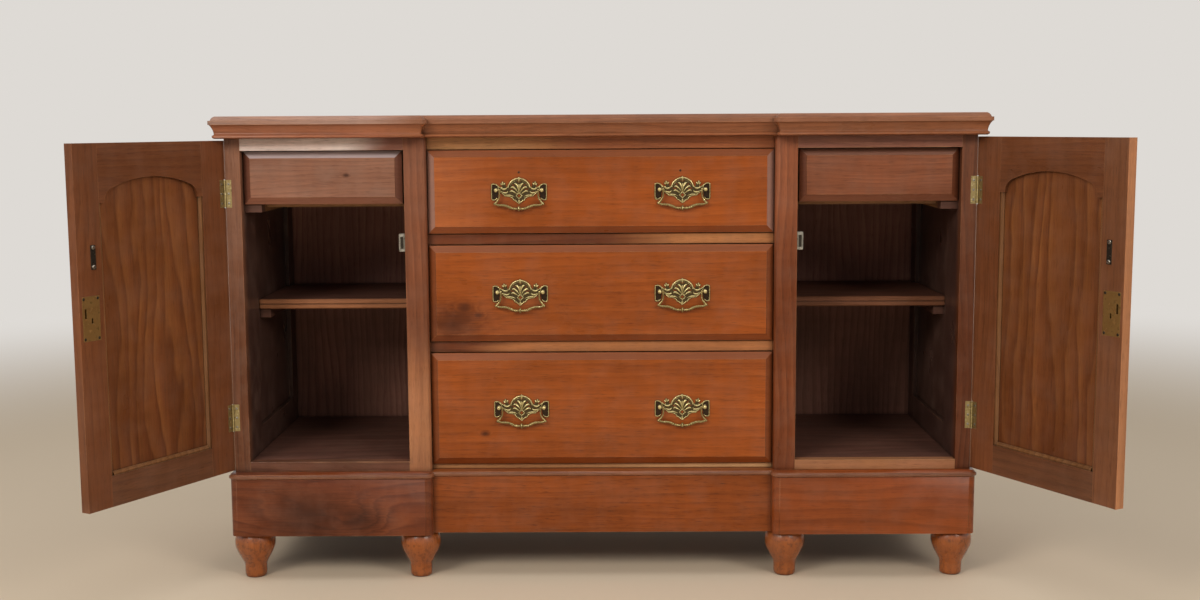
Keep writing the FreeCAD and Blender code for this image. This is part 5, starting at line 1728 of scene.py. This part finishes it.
@dataclass
class MagneticCatch:
    """Catch on the cupboard side of an inner stile: moulded case, steel plates and a magnet."""

    inner: float = 372.0
    width: float = 12.0
    depth: float = 15.0
    setback: float = 1.5
    low: float = 637.0
    high: float = 671.0
    plate_x: float = 3.5
    plate_half: float = 0.7
    plate_inset: float = 5.2
    magnet_half: float = 2.8
    magnet_inset: float = 5.6
    pocket: float = 2.0

    def build(self) -> None:
        """Draw both catches."""
        case, plates, magnet = Shape(), Shape(), Shape()
        y = STILE_Y + self.setback
        for side in (-1, 1):
            start, end = sorted((side * self.inner, side * (self.inner + self.width)))
            middle = (start + end) / 2
            case.box((start, y + 0.4, self.low), (end, y + self.depth, self.high), 0.8)
            # x, half width, front and inset of the two plates and the magnet between them
            fittings = ((plates, -self.plate_x, self.plate_half, 0.5, self.plate_inset),
                        (plates, self.plate_x, self.plate_half, 0.5, self.plate_inset),
                        (magnet, 0.0, self.magnet_half, 0.1, self.magnet_inset))
            for shape, x, half, proud, inset in fittings:
                shape.box((middle + x - half, y - proud, self.low + inset),
                          (middle + x + half, y + self.pocket, self.high - inset), 0.2)
        made = case.object("catch_cases", Finishes.plastic, "carcass", "catch")
        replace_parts(made, "magnetic_catches")
        plates.object("catch_plates", Finishes.steel, "carcass", "catch")
        magnet.object("catch_magnets", Finishes.dark_steel, "carcass", "catch")


@dataclass
class Carcass:
    """Frame, panels, rails, shelves, plinth and top."""

    hinges: HingePair = HingePair()
    leaf_x: float = 703.8
    boards: int = 9
    nail_rows: tuple[float, ...] = (236.0, 540.0, 846.0)
    nail_shares: tuple[float, ...] = (0.16, 0.84)

    def build(self) -> None:
        """Dress the carcass and build its small metalwork."""
        Joinery.smooth(["top_board"], Finishes.top, smooth_deg=20.0)
        Joinery.smooth(["cornice_moulding"], Finishes.cornice, smooth_deg=20.0)
        Joinery.dress(["side_frame_left"], Finishes.end_left, ARRIS)
        Joinery.dress(["side_frame_right"], Finishes.end_right, ARRIS)
        Joinery.dress(["side_panels"], Finishes.end_panel)
        Joinery.smooth(["inner_stile_left"], Finishes.pale_stile)
        Joinery.smooth(["inner_stile_right"], Finishes.stile)
        Joinery.dress(["drawer_rails"], Finishes.rail, ARRIS)
        Joinery.dress(["wing_rails"], Finishes.wing_rail, ARRIS)
        Joinery.dress(["centre_top_rail"], Finishes.top_rail, ARRIS)
        Joinery.dress(["partitions"], Finishes.inside_deep)
        Joinery.dress(["back_boards"], Finishes.back)
        Joinery.dress(["cupboard_floors", "shelf_bearers"], Finishes.inside_flat, FINE_ARRIS)
        Joinery.dress(["drawer_runners"], Finishes.runner, FINE_ARRIS)
        Joinery.dress(["shelf_left", "shelf_right"], Finishes.shelf, FINE_ARRIS)
        Joinery.smooth(["plinth_left"], Finishes.plinth_left)
        Joinery.smooth(["plinth_right"], Finishes.plinth_right)
        Joinery.smooth(["plinth_centre"], Finishes.plinth_centre)
        Joinery.dress(["plinth_back", "foot_blocks"], Finishes.hidden, SAWN_ARRIS)
        Joinery.smooth(["plinth_bead"], Finishes.bead)
        Joinery.smooth(["hinge_leaves"], Finishes.hinge)
        self.hinge_screws()
        self.back_nails()

    def hinge_screws(self) -> None:
        """Set the screws of the hinge leaves on the outer stiles."""
        heads = Heads("carcass_hinge_screws", "carcass", Finishes.steel, "brass", 2.4)
        heads.points = [(Vector((side * self.leaf_x, STILE_Y, z)), OUTWARD)
                        for side in (-1, 1) for z in self.hinges.screw_heights()]
        heads.build()

    def back_nails(self) -> None:
        """Drive two nails through every back board at each of its rails."""
        low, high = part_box("back_boards")
        start, end, rear = low[0] / MM, high[0] / MM, high[1] / MM
        heads = Heads("carcass_back_nails", "carcass", Finishes.dark_steel, "brass", 2.8, slotted=False)
        step = (end - start) / self.boards
        heads.points = [(Vector((start + step * (board + share), rear - 0.1, z)), -OUTWARD)
                        for board in range(self.boards)
                        for share in self.nail_shares for z in self.nail_rows]
        heads.build()


@dataclass
class Studio:
    """Camera at the photograph's view, soft lights and a plain pale floor."""

    eye: tuple[float, float, float] = (0.0132, -2.7403, 0.877)
    pitch: float = 0.1213
    yaw: float = -0.0057
    roll: float = -0.0057
    lens: float = 43.43
    backdrop: str = "#DEDAD5"

    def camera(self) -> None:
        """Set the camera."""
        p, w, r = self.pitch, self.yaw, self.roll
        ahead = Vector((math.sin(w) * math.cos(p), math.cos(w) * math.cos(p), -math.sin(p)))
        right = Vector((math.cos(w), -math.sin(w), 0.0))
        up = right.cross(ahead)
        across = right * math.cos(r) + up * math.sin(r)
        above = up * math.cos(r) - right * math.sin(r)
        data = bpy.data.cameras.new("view")
        data.sensor_width = 36.0
        data.lens = self.lens
        view = bpy.data.objects.new("view", data)
        view.matrix_world = Matrix((across, above, -ahead)).transposed().to_4x4()
        view.matrix_world.translation = Vector(self.eye) + Vector((0.0, STILE_Y * MM, 0.0))
        bpy.context.scene.collection.objects.link(view)
        bpy.context.scene.camera = view

    def lamp(self, name: str, place: Sequence[float], aim: Sequence[float], size: tuple[float, float],
             watts: float, tint: str) -> None:
        """Hang one soft rectangular lamp.

        Args:
            name: Name of the lamp.
            place: Its middle, in metres.
            aim: Point that it faces.
            size: Width and height, in metres.
            watts: Its power.
            tint: Its colour.
        """
        data = bpy.data.lights.new(name, "AREA")
        data.shape = "RECTANGLE"
        data.size, data.size_y = size
        data.energy = watts
        data.color = linear(tint)[:3]
        lamp = bpy.data.objects.new(name, data)
        lamp.location = place
        lamp.rotation_euler = (Vector(aim) - Vector(place)).to_track_quat("-Z", "Y").to_euler()
        bpy.context.scene.collection.objects.link(lamp)

    def floor(self) -> None:
        """Lay the pale floor."""
        shape = Shape()
        far = 30000.0
        drop = -0.2
        sides = 64
        turns = [math.tau * k / sides for k in range(sides)]
        rim = [Vector((math.cos(a) * far, math.sin(a) * far, drop)) for a in turns]
        shape.add(rim, [tuple(range(sides))])
        shape.object("floor", PaleFloor("floor_pale", backdrop=self.backdrop), "", "")

    def world(self) -> None:
        """Surround the piece with soft light, dimmer from the front, and a pale background."""
        world = bpy.data.worlds.new("surround")
        world.use_nodes = True
        tree = world.node_tree
        tree.nodes.clear()
        add = partial(add_node, tree)
        rays = tree.nodes.new("ShaderNodeLightPath").outputs
        seen = rays["Is Camera Ray"]
        for name in ("Is Transmission Ray", "Is Glossy Ray"):
            seen = add("ShaderNodeMath", {0: seen, 1: rays[name]}, operation="MAXIMUM")
        backdrop = add("ShaderNodeBackground", {"Color": linear(self.backdrop), "Strength": 1.0})
        way = add("ShaderNodeTexCoord", out="Generated")
        way = add("ShaderNodeSeparateXYZ", {"Vector": way}, "Y")
        level = add("ShaderNodeMapRange", {"Value": way, "From Min": -0.95, "From Max": -0.2, "To Min": 0.2,
                                           "To Max": 0.5})
        soft = add("ShaderNodeBackground", {"Color": linear("#F4F1EC"), "Strength": level})
        mixed = add("ShaderNodeMixShader", {0: seen, 1: soft, 2: backdrop})
        add("ShaderNodeOutputWorld", {"Surface": mixed})
        bpy.context.scene.world = world

    def build(self) -> None:
        """Set up the whole studio."""
        bpy.context.scene.view_settings.view_transform = "Standard"
        self.camera()
        self.lamp("key", (-2.2, -3.2, 2.6), (0.0, 0.0, 0.5), (1.6, 1.4), 86.0, "#FFF6EA")
        self.lamp("fill", (2.4, -3.1, 2.4), (0.0, 0.0, 0.5), (1.4, 1.2), 56.0, "#FFF6EA")
        self.lamp("top", (0.0, -0.6, 3.0), (0.0, 0.0, 0.6), (2.6, 1.2), 18.0, "#FFFFFF")
        self.floor()
        self.world()
        LOG.info("studio ready")


def main() -> None:
    """Build every sub-assembly in order and note the size."""
    logging.basicConfig(level=logging.INFO, format="%(name)s: %(message)s")
    Carcass().build()
    TurnedFeet().build()
    MagneticCatch().build()
    for side in ("left", "right"):
        Door(side).build()
        InnerDrawer(side).build()
    plugs = ((-155.0, 786.0), (151.0, 788.0))
    CentreDrawer("upper", Finishes.upper_front, plugs).build()
    CentreDrawer("middle", Finishes.middle_front).build()
    CentreDrawer("lower", Finishes.lower_front).build()
    Studio().build()


if __name__ == "__main__":
    main()
